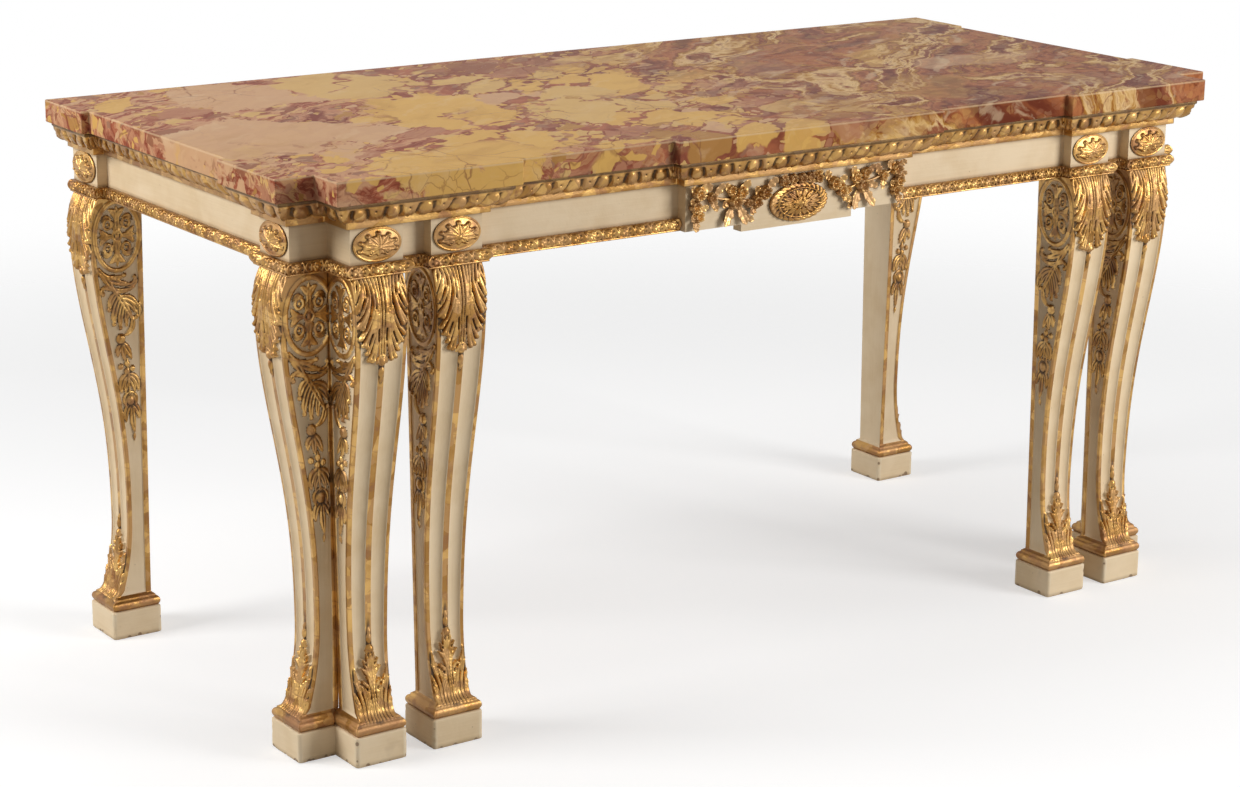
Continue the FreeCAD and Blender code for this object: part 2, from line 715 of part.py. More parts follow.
def foot_moulding():
    """Torus, fillet and scotia between the plinth and the leg."""
    size = size_of("plinth_size")
    low = size_of("plinth_height")
    torus = size_of("foot_torus")
    fillet = size_of("foot_fillet")
    rounds = []
    for step in range(7):
        share = step / 6
        inset = 1 + 3.5 * (2 * share - 1) ** 2
        rounds.append(foot_section(low + torus * share, size / 2 - inset, inset, size - inset))
    inset = 7
    neck = low + torus
    ledge = foot_section(neck, size / 2 - inset, inset, size - inset)
    upper = neck + fillet
    top = size_of("foot_top")
    half = leg_half_width(top)
    front = -leg_front(top)
    back = size_of("leg_depth")
    hollow = []
    for step in range(5):
        share = step / 4
        ease = (1 - share) ** 2
        hollow.append(
            foot_section(
                upper + (top - upper) * share,
                half + (size / 2 - inset - half) * ease,
                front + (inset - front) * ease,
                back + (size - inset - back) * ease,
            )
        )
    ledge_solid = Part.Face(ledge).extrude(FreeCAD.Vector(0, 0, fillet))
    return [Part.makeLoft(rounds, True), ledge_solid, Part.makeLoft(hollow, True)]


def flank_panels():
    """What is taken off both flanks to sink their panels between raised borders."""
    border = size_of("panel_border")
    depth = size_of("panel_depth")
    low = size_of("panel_foot")
    high = size_of("panel_top")
    back = size_of("leg_depth") - border
    heights = [low + (high - low) * step / 10 for step in range(11)]
    curve = [FreeCAD.Vector(0, -leg_front(height) + border, height) for height in heights]
    spline = Part.BSplineCurve()
    spline.interpolate(curve)
    upper = FreeCAD.Vector(0, back, high)
    lower = FreeCAD.Vector(0, back, low)
    edges = [
        spline.toShape(),
        Part.LineSegment(curve[-1], upper).toShape(),
        Part.LineSegment(upper, lower).toShape(),
        Part.LineSegment(lower, curve[0]).toShape(),
    ]
    reach_out = size_of("block_size")
    face = Part.Face(Part.Wire(edges))
    face.translate(FreeCAD.Vector(-reach_out, 0, 0))
    through = face.extrude(FreeCAD.Vector(2 * reach_out, 0, 0))
    core_points = []
    for height in (low - border, high + border):
        inside = leg_half_width(height) - depth
        core_points.append((inside, height))
    (low_half, low_z), (high_half, high_z) = core_points
    corners = ((-low_half, low_z), (low_half, low_z), (high_half, high_z), (-high_half, high_z))
    core_wire = closed_wire([FreeCAD.Vector(across, -reach_out, up) for across, up in corners], {})
    core = Part.Face(core_wire).extrude(FreeCAD.Vector(0, 3 * reach_out, 0))
    return through.cut(core)


def leg_body():
    """Whole carved leg from the plinth to the block, in front of the block face."""
    low = size_of("foot_top")
    high = size_of("apron_bottom")
    count = 15
    heights = [low + (high - low) * step / (count - 1) for step in range(count)]
    shaft = Part.makeLoft([leg_section(height) for height in heights], True)
    shaft = shaft.cut(flank_panels())
    return shaft.multiFuse(foot_moulding()).removeSplitter()


carved_leg = DOC.addObject("Part::Feature", "carved_leg")
carved_leg.Shape = leg_body()
leg_master = cut("leg_master", carved_leg, [hole_master, foot_hole])

# Plinth block under each foot.
plinth = DOC.addObject("PartDesign::Body", "plinth")
plinth_half = "sizes.plinth_size / 2"
plinth_corners = [
    (f"-{plinth_half}", "0"),
    (plinth_half, "0"),
    (plinth_half, "sizes.plinth_size"),
    (f"-{plinth_half}", "sizes.plinth_size"),
]
plinth_plan = outline("plinth_plan", plinth_corners, body=plinth)
plinth_plan.AttachmentSupport = (plinth.Origin.OriginFeatures[3], [""])
plinth_plan.MapMode = "FlatFace"
plinth_pad = plinth.newObject("PartDesign::Pad", "plinth_pad")
plinth_pad.Profile = plinth_plan
plinth_pad.setExpression("Length", "sizes.plinth_height")
DOC.recompute()
plinth_edge = plinth.newObject("PartDesign::Fillet", "plinth_edge")
plinth_edge.Base = (plinth_pad, [f"Edge{index + 1}" for index in range(len(plinth_pad.Shape.Edges))])
plinth_edge.setExpression("Radius", "sizes.plinth_round")
plinth_master = cut("plinth_master", plinth, [foot_hole])

# The side legs stand close behind the outer front legs and are notched to clear them.
for name, leg in LEGS.items():
    placed_leg = at_leg(f"{name}_leg_set", leg_master, leg)
    placed_plinth = at_leg(f"{name}_plinth_set", plinth_master, leg)
    if name.startswith("side"):
        sign = SIDES[name.split("_")[1]]
        clear_x = "sizes.outer_far + sizes.piece_clearance"
        foot_x = "(sizes.outer_far + sizes.outer_near) / 2 + sizes.plinth_size / 2 + sizes.piece_clearance"
        low_x, high_x = reach(sign, "sizes.outer_near", clear_x)
        shaft_room = box(
            f"{name}_shaft_room",
            (low_x, "-sizes.face_y", "sizes.foot_top - sizes.foot_scotia"),
            (high_x, "-sizes.face_y + sizes.leg_depth + sizes.piece_clearance", "sizes.apron_bottom"),
        )
        low_x, high_x = reach(sign, "sizes.outer_near", foot_x)
        foot_room = box(
            f"{name}_foot_room",
            (low_x, "-sizes.face_y", "0"),
            (high_x, "-sizes.face_y + sizes.plinth_size + sizes.piece_clearance", "sizes.foot_top"),
        )
        room = joined(f"{name}_room", [shaft_room, foot_room])
        placed_leg = cut(f"{name}_leg_cut", placed_leg, [room])
        placed_plinth = cut(f"{name}_plinth_cut", placed_plinth, [room])
    publish(f"{name}_leg", placed_leg)
    publish(f"{name}_plinth", placed_plinth)

DOC.recompute()
for item in DOC.Objects:
    if "Invalid" in item.State or "Error" in item.State:
        raise RuntimeError(f"{item.Name} did not rebuild")
os.makedirs("parts", exist_ok=True)
for piece in PIECES:
    shape = piece.Shape
    if shape.isNull() or not shape.isValid():
        raise RuntimeError(f"{piece.Label} is not a valid solid")
    print(piece.Label, len(shape.Solids), round(shape.Volume))
    shape.exportStep(f"parts/{piece.Label}.step")
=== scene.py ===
"""Looks of a side table: breccia marble slab on a painted and parcel-gilt carved frame.

Sizes are in millimetres in the table's own frame (X to the right, Y to the back, Z up) and
become metres when a mesh is written. Shaders work in metres.
"""
import logging
import math
from collections.abc import Callable, Sequence
from dataclasses import dataclass, field
from enum import Enum
from functools import cached_property, reduce
from itertools import product

import bpy
import numpy as np
from mathutils import Matrix, Vector


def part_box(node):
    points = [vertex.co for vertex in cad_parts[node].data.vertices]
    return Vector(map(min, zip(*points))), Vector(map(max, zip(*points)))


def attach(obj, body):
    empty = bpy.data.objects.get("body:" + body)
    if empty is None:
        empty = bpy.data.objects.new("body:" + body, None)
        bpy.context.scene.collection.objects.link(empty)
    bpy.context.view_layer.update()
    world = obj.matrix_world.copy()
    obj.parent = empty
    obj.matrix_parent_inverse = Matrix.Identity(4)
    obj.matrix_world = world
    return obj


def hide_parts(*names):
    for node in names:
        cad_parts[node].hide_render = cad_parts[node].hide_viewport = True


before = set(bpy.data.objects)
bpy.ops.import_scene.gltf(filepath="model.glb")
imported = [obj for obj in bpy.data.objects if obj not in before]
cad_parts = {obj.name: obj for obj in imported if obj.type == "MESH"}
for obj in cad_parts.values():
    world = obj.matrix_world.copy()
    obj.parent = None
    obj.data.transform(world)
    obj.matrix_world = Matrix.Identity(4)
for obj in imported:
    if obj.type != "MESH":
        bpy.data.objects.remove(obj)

Array = np.ndarray
Colour = tuple[float, float, float]
Place = tuple[float, float]
Material = bpy.types.Material

LOG = logging.getLogger("side_table")
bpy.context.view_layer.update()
MM = 0.001
TINY = 1e-6
EVEN = 0.5  # crest value of even ground
CROWN = 0.8  # crest value of a dome's crown
MIRROR = np.array([-1, 1])
SEEN_RAYS = ("Is Camera Ray", "Is Glossy Ray", "Is Transmission Ray")


def tint(*levels: int) -> Colour:
    """Linear colour of an sRGB triple of levels from 11 to 255."""
    return tuple(((level / 255 + 0.055) / 1.055) ** 2.4 for level in levels)


def corners(node: str) -> tuple[Array, Array]:
    """Lowest and highest corner of a CAD node, in millimetres."""
    low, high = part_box(node)
    return np.array(low) / MM, np.array(high) / MM


def ease(value: Array, low: float, high: float) -> Array:
    """Smooth step from 0 at low to 1 at high, cubic in between."""
    share = np.clip((value - low) / (high - low), 0, 1)
    return share * share * (3 - 2 * share)


def arch(share: Array, power: float = 0.5) -> Array:
    """Half circle over shares from -1 to 1 and 0 beyond, fuller with a smaller power."""
    return np.clip(1 - share**2, 0, None) ** power


def bell(share: Array) -> Array:
    """Bell curve that is 1 at 0 and falls to 1/e at 1."""
    return np.exp(-(share**2))


def circle(count: int) -> Array:
    """Turns of evenly spread places round a circle."""
    return np.linspace(0, 2 * np.pi, count, endpoint=False)


def grid(x: Array, y: Array, z: Array, gilt: Array | float, ridge: Array | float) -> Array:
    """Points over a grid, each with its place, gilding and crest value, in a last axis of five."""
    return np.stack(np.broadcast_arrays(x, y, z, gilt, ridge), -1)


def crest(height: Array, reach: int = 4, depth: float = 2.4) -> Array:
    """How far each place of a height grid stands over its surroundings.

    The mean over a square window comes from a table of running sums; the difference is scaled
    so that hollows tend to 0, even ground is 0.5 and ridges tend to 1.

    Args:
        height: Grid of heights in millimetres.
        reach: Half the window, in grid steps.
        depth: Difference in millimetres over which the value runs from 0 to 1.

    Returns:
        Grid of values from 0 to 1.
    """
    window = 2 * reach + 1
    sums = np.pad(np.pad(height, reach, mode="edge").cumsum(0).cumsum(1), ((1, 0), (1, 0)))
    total = sums[window:, window:] - sums[:-window, window:]
    total = total - sums[window:, :-window] + sums[:-window, :-window]
    return np.clip(EVEN + (height - total / window**2) / depth, 0, 1)


class Facing(Enum):
    """Way that a leg and its patera face, in quarter turns from the front."""

    FRONT = 0
    RIGHT = 1
    LEFT = -1

    def turned(self, points: Array) -> Array:
        """Points of a piece that faces the front, turned about the vertical."""
        x, y, z = np.moveaxis(points, -1, 0)
        return points if self is Facing.FRONT else np.stack([-self.value * y, self.value * x, z], -1)


class Cut(Enum):
    """Plan of a carved stroke, from its root at 0 to its tip at 1."""

    BLADE = "blade"
    STEM = "stem"
    LOBE = "lobe"
    CURL = "curl"

    def spread(self, along: Array) -> Array:
        """Share of the stroke's full width at each place along it.

        Args:
            along: Places from 0 to 1.

        Returns:
            Shares: powers of sines, straight lines or a root curve.
        """
        if self is Cut.BLADE:
            return np.sin(np.pi * (0.13 + 0.86 * along)) ** 0.8
        if self is Cut.CURL:
            return np.sin(np.pi * (0.2 + 0.79 * along)) ** 0.65
        return 1 - 0.4 * along if self is Cut.STEM else 0.5 + 0.5 * along**0.8

    def rise(self, along: Array) -> Array:
        """Share of the stroke's full height at each place along it."""
        return 0.7 + 0.3 * along**2 if self in (Cut.LOBE, Cut.CURL) else 1 - 0.25 * along


@dataclass
class Surface:
    """A mesh as whole arrays.

    Attributes:
        points: One row each: the place in millimetres, 1 where gold leaf lies and 0 where paint
            shows, and the crest value, 0 in a hollow, 0.5 on even ground and 1 on a ridge.
        faces: Groups of faces with the same number of corners, one row each.
    """

    points: Array
    faces: list[Array]

    @classmethod
    def tube(cls, rings: Array) -> "Surface":
        """Closed tube through rings of points, with a flat face at each end.

        Args:
            rings: Rows by columns by 5; each row runs anticlockwise seen against the tube's way.

        Returns:
            The tube.
        """
        index = np.arange(rings.shape[0] * rings.shape[1]).reshape(rings.shape[:2])
        beside = np.roll(index, -1, axis=1)
        quads = np.stack([index[:-1], beside[:-1], beside[1:], index[1:]], -1).reshape(-1, 4)
        return cls(rings.reshape(-1, rings.shape[2]), [quads, index[:1, ::-1], index[-1:]])

    @classmethod
    def dome(cls, rings: Array, crown: Sequence[float]) -> "Surface":
        """Gilt dome from its foot ring up to one crown point, closed by a flat face underneath.

        Args:
            rings: Rows by columns by 5, from the foot to the last ring under the crown.
            crown: Place of the crown point.

        Returns:
            The dome.
        """
        body = cls.tube(rings)
        quads, foot, (last,) = body.faces
        fan = np.stack([last, np.roll(last, -1), np.full_like(last, len(body.points))], -1)
        return cls(np.vstack([body.points, (*crown, 1.0, CROWN)]), [quads, fan, foot])

    @classmethod
    def joined(cls, pieces: Sequence["Surface"]) -> "Surface":
        """Several surfaces as one, the numbers in their faces shifted past the points before them.

        Args:
            pieces: The surfaces.

        Returns:
            One surface.
        """
        starts = np.cumsum([0] + [len(piece.points) for piece in pieces[:-1]])
        faces = [group + start for piece, start in zip(pieces, starts) for group in piece.faces]
        return cls(np.vstack([piece.points for piece in pieces]), faces)

    def moved(self, change: Callable[[Array], Array]) -> "Surface":
        """The same surface with its places changed by a function."""
        return Surface(np.hstack([change(self.points[:, :3]), self.points[:, 3:]]), self.faces)

    def mirrored(self) -> "Surface":
        """The surface seen in the plane between left and right, with its faces turned outwards."""
        return Surface(self.points * (-1, 1, 1, 1, 1), [group[:, ::-1] for group in self.faces])

    def build(self, name: str, finish: Material, slot: str, *nodes: str) -> None:
        """Make the surface a piece of the frame body that stands for CAD nodes.

        Args:
            name: Name of the new object.
            finish: Material of the piece.
            slot: Not used.
            *nodes: CAD nodes that the piece replaces.
        """
        mesh = bpy.data.meshes.new(name)
        mesh.vertices.add(len(self.points))
        mesh.vertices.foreach_set("co", (self.points[:, :3] * MM).ravel())
        sizes = np.concatenate([np.full(len(group), group.shape[1]) for group in self.faces])
        mesh.loops.add(int(sizes.sum()))
        mesh.loops.foreach_set("vertex_index", np.concatenate([group.ravel() for group in self.faces]))
        mesh.polygons.add(len(sizes))
        mesh.polygons.foreach_set("loop_start", np.cumsum(sizes) - sizes)
        mesh.polygons.foreach_set("use_smooth", sizes <= 4)
        for label, values in zip(("gilt", "crest"), self.points[:, 3:].T):
            mesh.attributes.new(label, "FLOAT", "POINT").data.foreach_set("value", values.copy())
        mesh.update(calc_edges=True)
        mesh.materials.append(finish)
        piece = bpy.data.objects.new(name, mesh)
        bpy.context.scene.collection.objects.link(piece)
        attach(piece, "frame")
        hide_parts(*nodes)
        LOG.info("%s: %d points, %d faces", name, len(self.points), len(sizes))


class Carving:
    """Height of a carved face over a grid of places on it, in millimetres.

    Each stroke of the gouge leaves a rounded ridge, and the face keeps the highest of them.
    A cut that is mirrored is repeated on the other side of the middle.
    """

    STEPS = 41
    THINNEST = 0.05

    def __init__(self, across: Array, up: Array) -> None:
        """Start with an uncut face on a grid of places."""
        self.across, self.up = np.broadcast_arrays(across, up)
        self.height = np.zeros(self.across.shape)

    @property
    def gilt(self) -> Array:
        """1 on the carving and 0 on the ground."""
        return ease(self.height, 0.15, 0.5)

    def stroke(self, path: Sequence[Place], width: float, height: float, cut: Cut = Cut.BLADE,
               groove: float = 0.3, mirror: bool = False) -> None:
        """Ridge along a quadratic curve: a half circle across it with a vein down the middle.

        Args:
            path: Root, bend and tip of the curve.
            width: Full width at the widest place.
            height: Height of the ridge.
            cut: How width and height change from root to tip.
            groove: Depth of the vein as a share of the height.
            mirror: Whether the stroke is mirrored.
        """
        along = np.linspace(0, 1, self.STEPS)
        weights = np.stack([(1 - along) ** 2, 2 * along * (1 - along), along**2], -1)
        line = weights @ np.array(path, float)
        near = (self.across > line[:, 0].min() - width) & (self.across < line[:, 0].max() + width)
        near &= (self.up > line[:, 1].min() - width) & (self.up < line[:, 1].max() + width)
        gaps = np.hypot(self.across[near][:, None] - line[:, 0], self.up[near][:, None] - line[:, 1])
        nearest = gaps.argmin(1)
        half = np.maximum(0.5 * width * cut.spread(along)[nearest], self.THINNEST)
        share = gaps[np.arange(len(nearest)), nearest] / half
        ridge = arch(share) * (1 - groove * bell(share / 0.25)) * height * cut.rise(along)[nearest]
        self.height[near] = np.maximum(self.height[near], ridge)
        if mirror:
            self.stroke(np.multiply(path, MIRROR), width, height, cut, groove)

    def boss(self, centre: Place, radii: Place, height: float, mirror: bool = False) -> None:
        """Half of an ellipsoid.

        Args:
            centre: Its middle.
            radii: Its half lengths across and up.
            height: Its height.
            mirror: Whether it is mirrored.
        """
        gap = np.hypot((self.across - centre[0]) / radii[0], (self.up - centre[1]) / radii[1])
        self.height = np.maximum(self.height, height * arch(gap))
        if mirror:
            self.boss(np.multiply(centre, MIRROR), radii, height)

    def hoop(self, centre: Place, radii: Place, band: float, height: float) -> None:
        """Raised oval band with a rounded section.

        Args:
            centre: Middle of the oval.
            radii: Half lengths of the oval to the middle of the band.
            band: Width of the band.
            height: Its height.
        """
        x, y = self.across - centre[0], self.up - centre[1]
        gap = np.hypot(x / radii[0], y / radii[1])
        scale = np.hypot(x, y) / np.maximum(gap, TINY)
        self.height = np.maximum(self.height, height * arch((gap - 1) * scale / (band / 2), 0.6))

    def slit(self, start: Place, end: Place, radius: float, depth: float, mirror: bool = False) -> None:
        """Deep cut between two lobes: a trench along a line, its depth a bell across it.

        Args:
            start: One end of the line.
            end: Its other end.
            radius: Reach of the soft edges.
            depth: Depth of the trench.
            mirror: Whether it is mirrored.
        """
        run = np.subtract(end, start)
        x, y = self.across - start[0], self.up - start[1]
        share = np.clip((x * run[0] + y * run[1]) / max(run @ run, TINY), 0, 1)
        gap = np.hypot(x - share * run[0], y - share * run[1]) / radius
        self.height = self.height - depth * np.exp(-1.6 * gap**2)
        if mirror:
            self.slit(np.multiply(start, MIRROR), np.multiply(end, MIRROR), radius, depth)

    def pit(self, centre: Place, radius: float, depth: float, mirror: bool = False) -> None:
        """Drilled eye, a round dip with soft edges."""
        self.slit(centre, centre, radius, depth, mirror)


def maths(operation: str, reflected: bool = False) -> Callable[..., "Socket"]:
    """Method of a socket that adds a Math node.

    Args:
        operation: Operation of the node.
        reflected: Whether the socket comes second.

    Returns:
        The method, which takes the other values and returns the node's output.
    """
    def method(self: "Socket", *others: "Socket | float") -> "Socket":
        """The socket and the other values put through the node."""
        values = (*others, self) if reflected else (self, *others)
        return self.graph.node("Math", dict(enumerate(values)), operation=operation)

    return method


class Socket:
    """A shader value that takes part in Python arithmetic."""

    def __init__(self, graph: "Graph", out: bpy.types.NodeSocket) -> None:
        """Wrap one output of a node."""
        self.graph = graph
        self.out = out

    __add__ = __radd__ = maths("ADD")
    __sub__ = maths("SUBTRACT")
    __rsub__ = maths("SUBTRACT", True)
    __mul__ = __rmul__ = maths("MULTIPLY")
    __abs__ = maths("ABSOLUTE")
    highest = maths("MAXIMUM")
    fraction = maths("FRACT")

    def ease(self, low: float, high: float, start: float = 0.0, end: float = 1.0) -> "Socket":
        """Smooth step from start where the value is low to end where it is high."""
        inputs = {"Value": self, "From Min": low, "From Max": high, "To Min": start, "To Max": end}
        return self.graph.node("MapRange", inputs, interpolation_type="SMOOTHSTEP")

    def fall(self, low: float, high: float, start: float = 1.0) -> "Socket":
        """Smooth step from start where the value is low down to 0 where it is high."""
        return self.ease(low, high, start, 0.0)


class Graph:
    """Nodes of one material, or of the world."""

    def __init__(self, name: str, kind: str = "materials") -> None:
        """Start an empty material or world.

        Args:
            name: Its name.
            kind: Blender's list that holds it.
        """
        self.owner = getattr(bpy.data, kind).new(name)
        self.owner.use_nodes = True
        self.tree = self.owner.node_tree
        self.tree.nodes.clear()

    def node(self, kind: str, inputs: dict | None = None, out: int | str = 0,
             **settings: object) -> Socket:
        """Add a node.

        Args:
            kind: Blender's type of the node, after the words ShaderNode.
            inputs: Values or links by socket name or number.
            out: Output that is wanted.
            **settings: Properties of the node, or a ramp's stops, set before its sockets.

        Returns:
            The wrapped output.
        """
        made = self.tree.nodes.new(f"ShaderNode{kind}")
        for label, setting in settings.items():
            if label == "stops":
                self.bands(made.color_ramp, *setting)
            else:
                setattr(made, label, setting)
        for label, value in (inputs or {}).items():
            socket = made.inputs[label]
            if isinstance(value, Socket):
                self.tree.links.new(value.out, socket)
            elif isinstance(value, tuple) and len(socket.default_value) == 4:
                socket.default_value = (*value, 1.0)
            else:
                socket.default_value = value
        return Socket(self, made.outputs[out] if len(made.outputs) else None)

    @staticmethod
    def bands(ramp: bpy.types.ColorRamp, blend: str, colours: Sequence[Colour]) -> None:
        """Give a ramp its way of blending and one stop for each colour, all at the same distance.

        Args:
            ramp: The ramp.
            blend: Way of blending.
            colours: Colours in order.
        """
        ramp.interpolation = blend
        ramp.elements.remove(ramp.elements[1])
        for number, colour in enumerate(colours):
            stop = ramp.elements.new(number / len(colours)) if number else ramp.elements[0]
            stop.color = (*colour, 1.0)

    def ramp(self, share: Socket, blend: str, colours: Sequence[Colour]) -> Socket:
        """Colour read from a row of colours, in flat bands or blended."""
        return self.node("ValToRGB", {"Fac": share}, stops=(blend, colours))

    def place(self, stretch: Colour | None = None) -> Socket:
        """Object coordinates in metres, stretched along each axis."""
        at = self.node("TexCoord", out="Object")
        return self.node("Mapping", {"Vector": at, "Scale": stretch}) if stretch else at

    def local(self, at: Socket, turn: float, radii: Place, middle: Place = (0.0, 0.0),
              z: float = 0.0) -> Socket:
        """Places seen from an oval in plan.

        Args:
            at: Places on the piece.
            turn: Turn of the oval in degrees.
            radii: Its half lengths, which become 1.
            middle: Its middle, which becomes 0.
            z: Height that becomes 0.

        Returns:
            The places in the oval's own frame.
        """
        inputs = {"Vector": at, "Location": (*middle, z), "Rotation": (0.0, 0.0, math.radians(turn)),
                  "Scale": (*radii, 1.0)}
        return self.node("Mapping", inputs, vector_type="TEXTURE")

    def axis(self, at: Socket, letter: str) -> Socket:
        """One coordinate of a place."""
        return self.node("SeparateXYZ", {"Vector": at}, letter)

    def length(self, at: Socket) -> Socket:
        """Distance of a place from the origin."""
        return self.node("VectorMath", {0: at}, "Value", operation="LENGTH")

    def noise(self, at: Socket, scale: float, detail: float = 3.0, rough: float = 0.5,
              twist: float = 0.0, out: str = "Fac") -> Socket:
        """Fractal noise."""
        inputs = {"Vector": at, "Scale": scale, "Detail": detail, "Roughness": rough, "Distortion": twist}
        return self.node("TexNoise", inputs, out)

    def cells(self, at: Socket, scale: float, feature: str = "F1", out: str = "Distance") -> Socket:
        """Voronoi cells."""
        return self.node("TexVoronoi", {"Vector": at, "Scale": scale}, out, feature=feature)

    def edges(self, at: Socket, scale: float) -> Socket:
        """Distance from the borders of Voronoi cells."""
        return self.cells(at, scale, "DISTANCE_TO_EDGE")

    def value(self, label: str) -> Socket:
        """A value that the mesh holds at its points."""
        return self.node("Attribute", out="Fac", attribute_name=label)

    def seen(self) -> Socket:
        """1 on rays from the camera, straight or by way of a mirror or glass, and 0 on others."""
        return reduce(Socket.highest, [self.node("LightPath", out=kind) for kind in SEEN_RAYS])

    def mix(self, share: Socket | float, low: Socket | Colour, high: Socket | Colour) -> Socket:
        """Colour between two colours."""
        return self.node("Mix", {0: share, 6: low, 7: high}, 2, data_type="RGBA")

    def layers(self, ground: Socket | Colour, *coats: tuple[Socket | float, Socket | Colour]) -> Socket:
        """Colour of a ground with coats over it in order, each a share and a colour."""
        return reduce(lambda under, coat: self.mix(coat[0], under, coat[1]), coats, ground)

    def bent(self, at: Socket, scale: float, reach: float, detail: float = 2.0) -> Socket:
        """Places pushed about by noise, for outlines that wander.

        Args:
            at: Places on the piece.
            scale: Scale of the noise.
            reach: Push for each unit of noise, in metres.
            detail: Detail of the noise.

        Returns:
            The pushed places.
        """
        push = self.noise(at, scale, detail, out="Color")
        centred = self.node("VectorMath", {0: push, 1: (0.5, 0.5, 0.5)}, operation="SUBTRACT")
        scaled = self.node("VectorMath", {0: centred, "Scale": reach}, operation="SCALE")
        return self.node("VectorMath", {0: at, 1: scaled}, operation="ADD")


@dataclass
class Look:
    """What a finish says of a surface: colour, roughness, metal and the height of its texture."""

    colour: Socket
    roughness: Socket
    metal: Socket | float
    height: Socket

    def over(self, under: "Look", share: Socket) -> "Look":
        """This look where the share is 1 and another where it is 0.

        Args:
            under: The other look.
            share: Share of this look.

        Returns:
            The mixed look.
        """
        colour = share.graph.mix(share, under.colour, self.colour)
        lows, highs = ((look.roughness, look.metal, look.height) for look in (under, self))
        return Look(colour, *(low + (high - low) * share for low, high in zip(lows, highs)))

    def material(self, depth: float, gloss: float = 0.5) -> Material:
        """Principled surface of the look.

        Args:
            depth: Depth of the texture's bump in metres.
            gloss: Specular level.

        Returns:
            The finished material.
        """
        graph = self.colour.graph
        bump = graph.node("Bump", {"Strength": 1.0, "Distance": depth, "Height": self.height})
        inputs = {"Base Color": self.colour, "Roughness": self.roughness, "Metallic": self.metal,
                  "Normal": bump, "Specular IOR Level": gloss}
        graph.node("OutputMaterial", {"Surface": graph.node("BsdfPrincipled", inputs)})
        return graph.owner


class Brush(Enum):
    """Way the paint was laid off, as the stretch of its streaks on each axis."""

    LEVEL = (2.0, 2.0, 60.0)
    UPRIGHT = (60.0, 60.0, 2.0)


@dataclass(frozen=True)
class CreamPaint:
    """Old cream distemper: clouded, faintly streaked, darkened by stains and painted shade, rubbed pale on
    edges.
    """

    body: Colour = tint(230, 207, 171)
    warm: Colour = tint(213, 185, 142)
    # Colour of stains and of painted shade
    shade_and_grime: Colour = tint(150, 120, 80)
    speck: Colour = tint(112, 82, 54)
    rubbed: Colour = tint(233, 216, 186)

    def look(self, graph: Graph, brush: Brush, dirt_and_shade_mask: Socket) -> Look:
        """Paint with brush streaks, and darkening by stains and by painted shade.

        Args:
            graph: Material being made.
            brush: Way of the streaks.
            dirt_and_shade_mask: 1 where stains and painted shade darken the paint.

        Returns:
            The look.
        """
        at = graph.place()
        streak = graph.noise(graph.place(brush.value), 6.0, 4.0, 0.6)
        cloud = graph.noise(at, 6.0, 4.0, 0.6)
        stain = graph.noise(graph.bent(at, 9.0, 0.06), 17.0, 3.0, 0.55)
        tone = streak * 0.18 + cloud * 0.5 + stain * 0.32
        # Darkening from stains and from painted shade, broken up by the cloud
        dirt = dirt_and_shade_mask * (0.55 + 0.6 * cloud)
        spots = graph.cells(at, 55.0).fall(0.03, 0.075) * graph.noise(at, 9.0, 1.0).ease(0.52, 0.62)
        edges = graph.value("crest").ease(0.66, 0.9) * stain.ease(0.4, 0.58, 0.1, 0.8)
        colour = graph.layers(
            self.body, (tone.ease(0.38, 0.66, 0.0, 0.85), self.warm),
            (dirt.ease(0.15, 0.9, 0.0, 0.8), self.shade_and_grime), (spots * 0.5, self.speck), (edges, self.rubbed))
        grit = graph.noise(at, 190.0, 2.0)
        return Look(colour, 0.46 + 0.2 * cloud, 0.0, streak * 0.35 + grit * 0.4 + stain * 0.25)


@dataclass(frozen=True)
class Gilding:
    """Water gilding rubbed through to its red-brown clay, with painted shade in the hollows."""

    bright: Colour = tint(208, 166, 100)
    deep: Colour = tint(154, 112, 58)
    clay: Colour = tint(136, 88, 56)
    shade: Colour = tint(50, 33, 18)
    metal: float = 0.88
    lap: float = 0.052
    name: str = "gold_leaf"

    def look(self, graph: Graph) -> Look:
        """Gold leaf with laps between the leaves, rubbed patches and painted shade in the hollows.

        Args:
            graph: Material being made.

        Returns:
            The look.
        """
        at = graph.place()
        height = graph.axis(at, "Z")
        tone = graph.noise(at, 22.0, 4.0, 0.6)
        worn = graph.noise(graph.bent(at, 18.0, 0.05), 34.0, 4.0, 0.62).ease(0.5, 0.64)
        patch = graph.axis(graph.cells(graph.bent(at, 26.0, 0.02), 44.0, out="Color"), "X")
        run = height + 0.35 * graph.axis(at, "X") + 0.04 * graph.noise(at, 7.0, 1.0)
        laps = abs((run * (1 / self.lap)).fraction() - 0.5).fall(0.0, 0.035)
        kicked = height.fall(0.062, 0.085, 0.7) * tone.ease(0.4, 0.58)
        rubbed = reduce(Socket.highest, (worn * 0.55, laps * 0.45, patch.ease(0.74, 0.8) * 0.5, kicked))
        # Painted shade: where the crest value is low the gold is mixed towards the shade colour
        hollow = graph.value("crest").fall(0.12, 0.46)
        colour = graph.layers(self.deep, ((tone * 0.6 + patch * 0.4).ease(0.3, 0.68), self.bright),
                              (rubbed, self.clay), (hollow * 0.88, self.shade))
        roughness = 0.24 + 0.16 * tone + 0.2 * rubbed + 0.2 * hollow
        metal = self.metal - 0.55 * rubbed - 0.3 * hollow
        return Look(colour, roughness, metal, graph.noise(at, 260.0, 3.0) * 0.7 + tone * 0.3)

    def material(self) -> Material:
        """Gilding alone, for mouldings and carved ornaments."""
        return self.look(Graph(self.name)).material(0.0006)


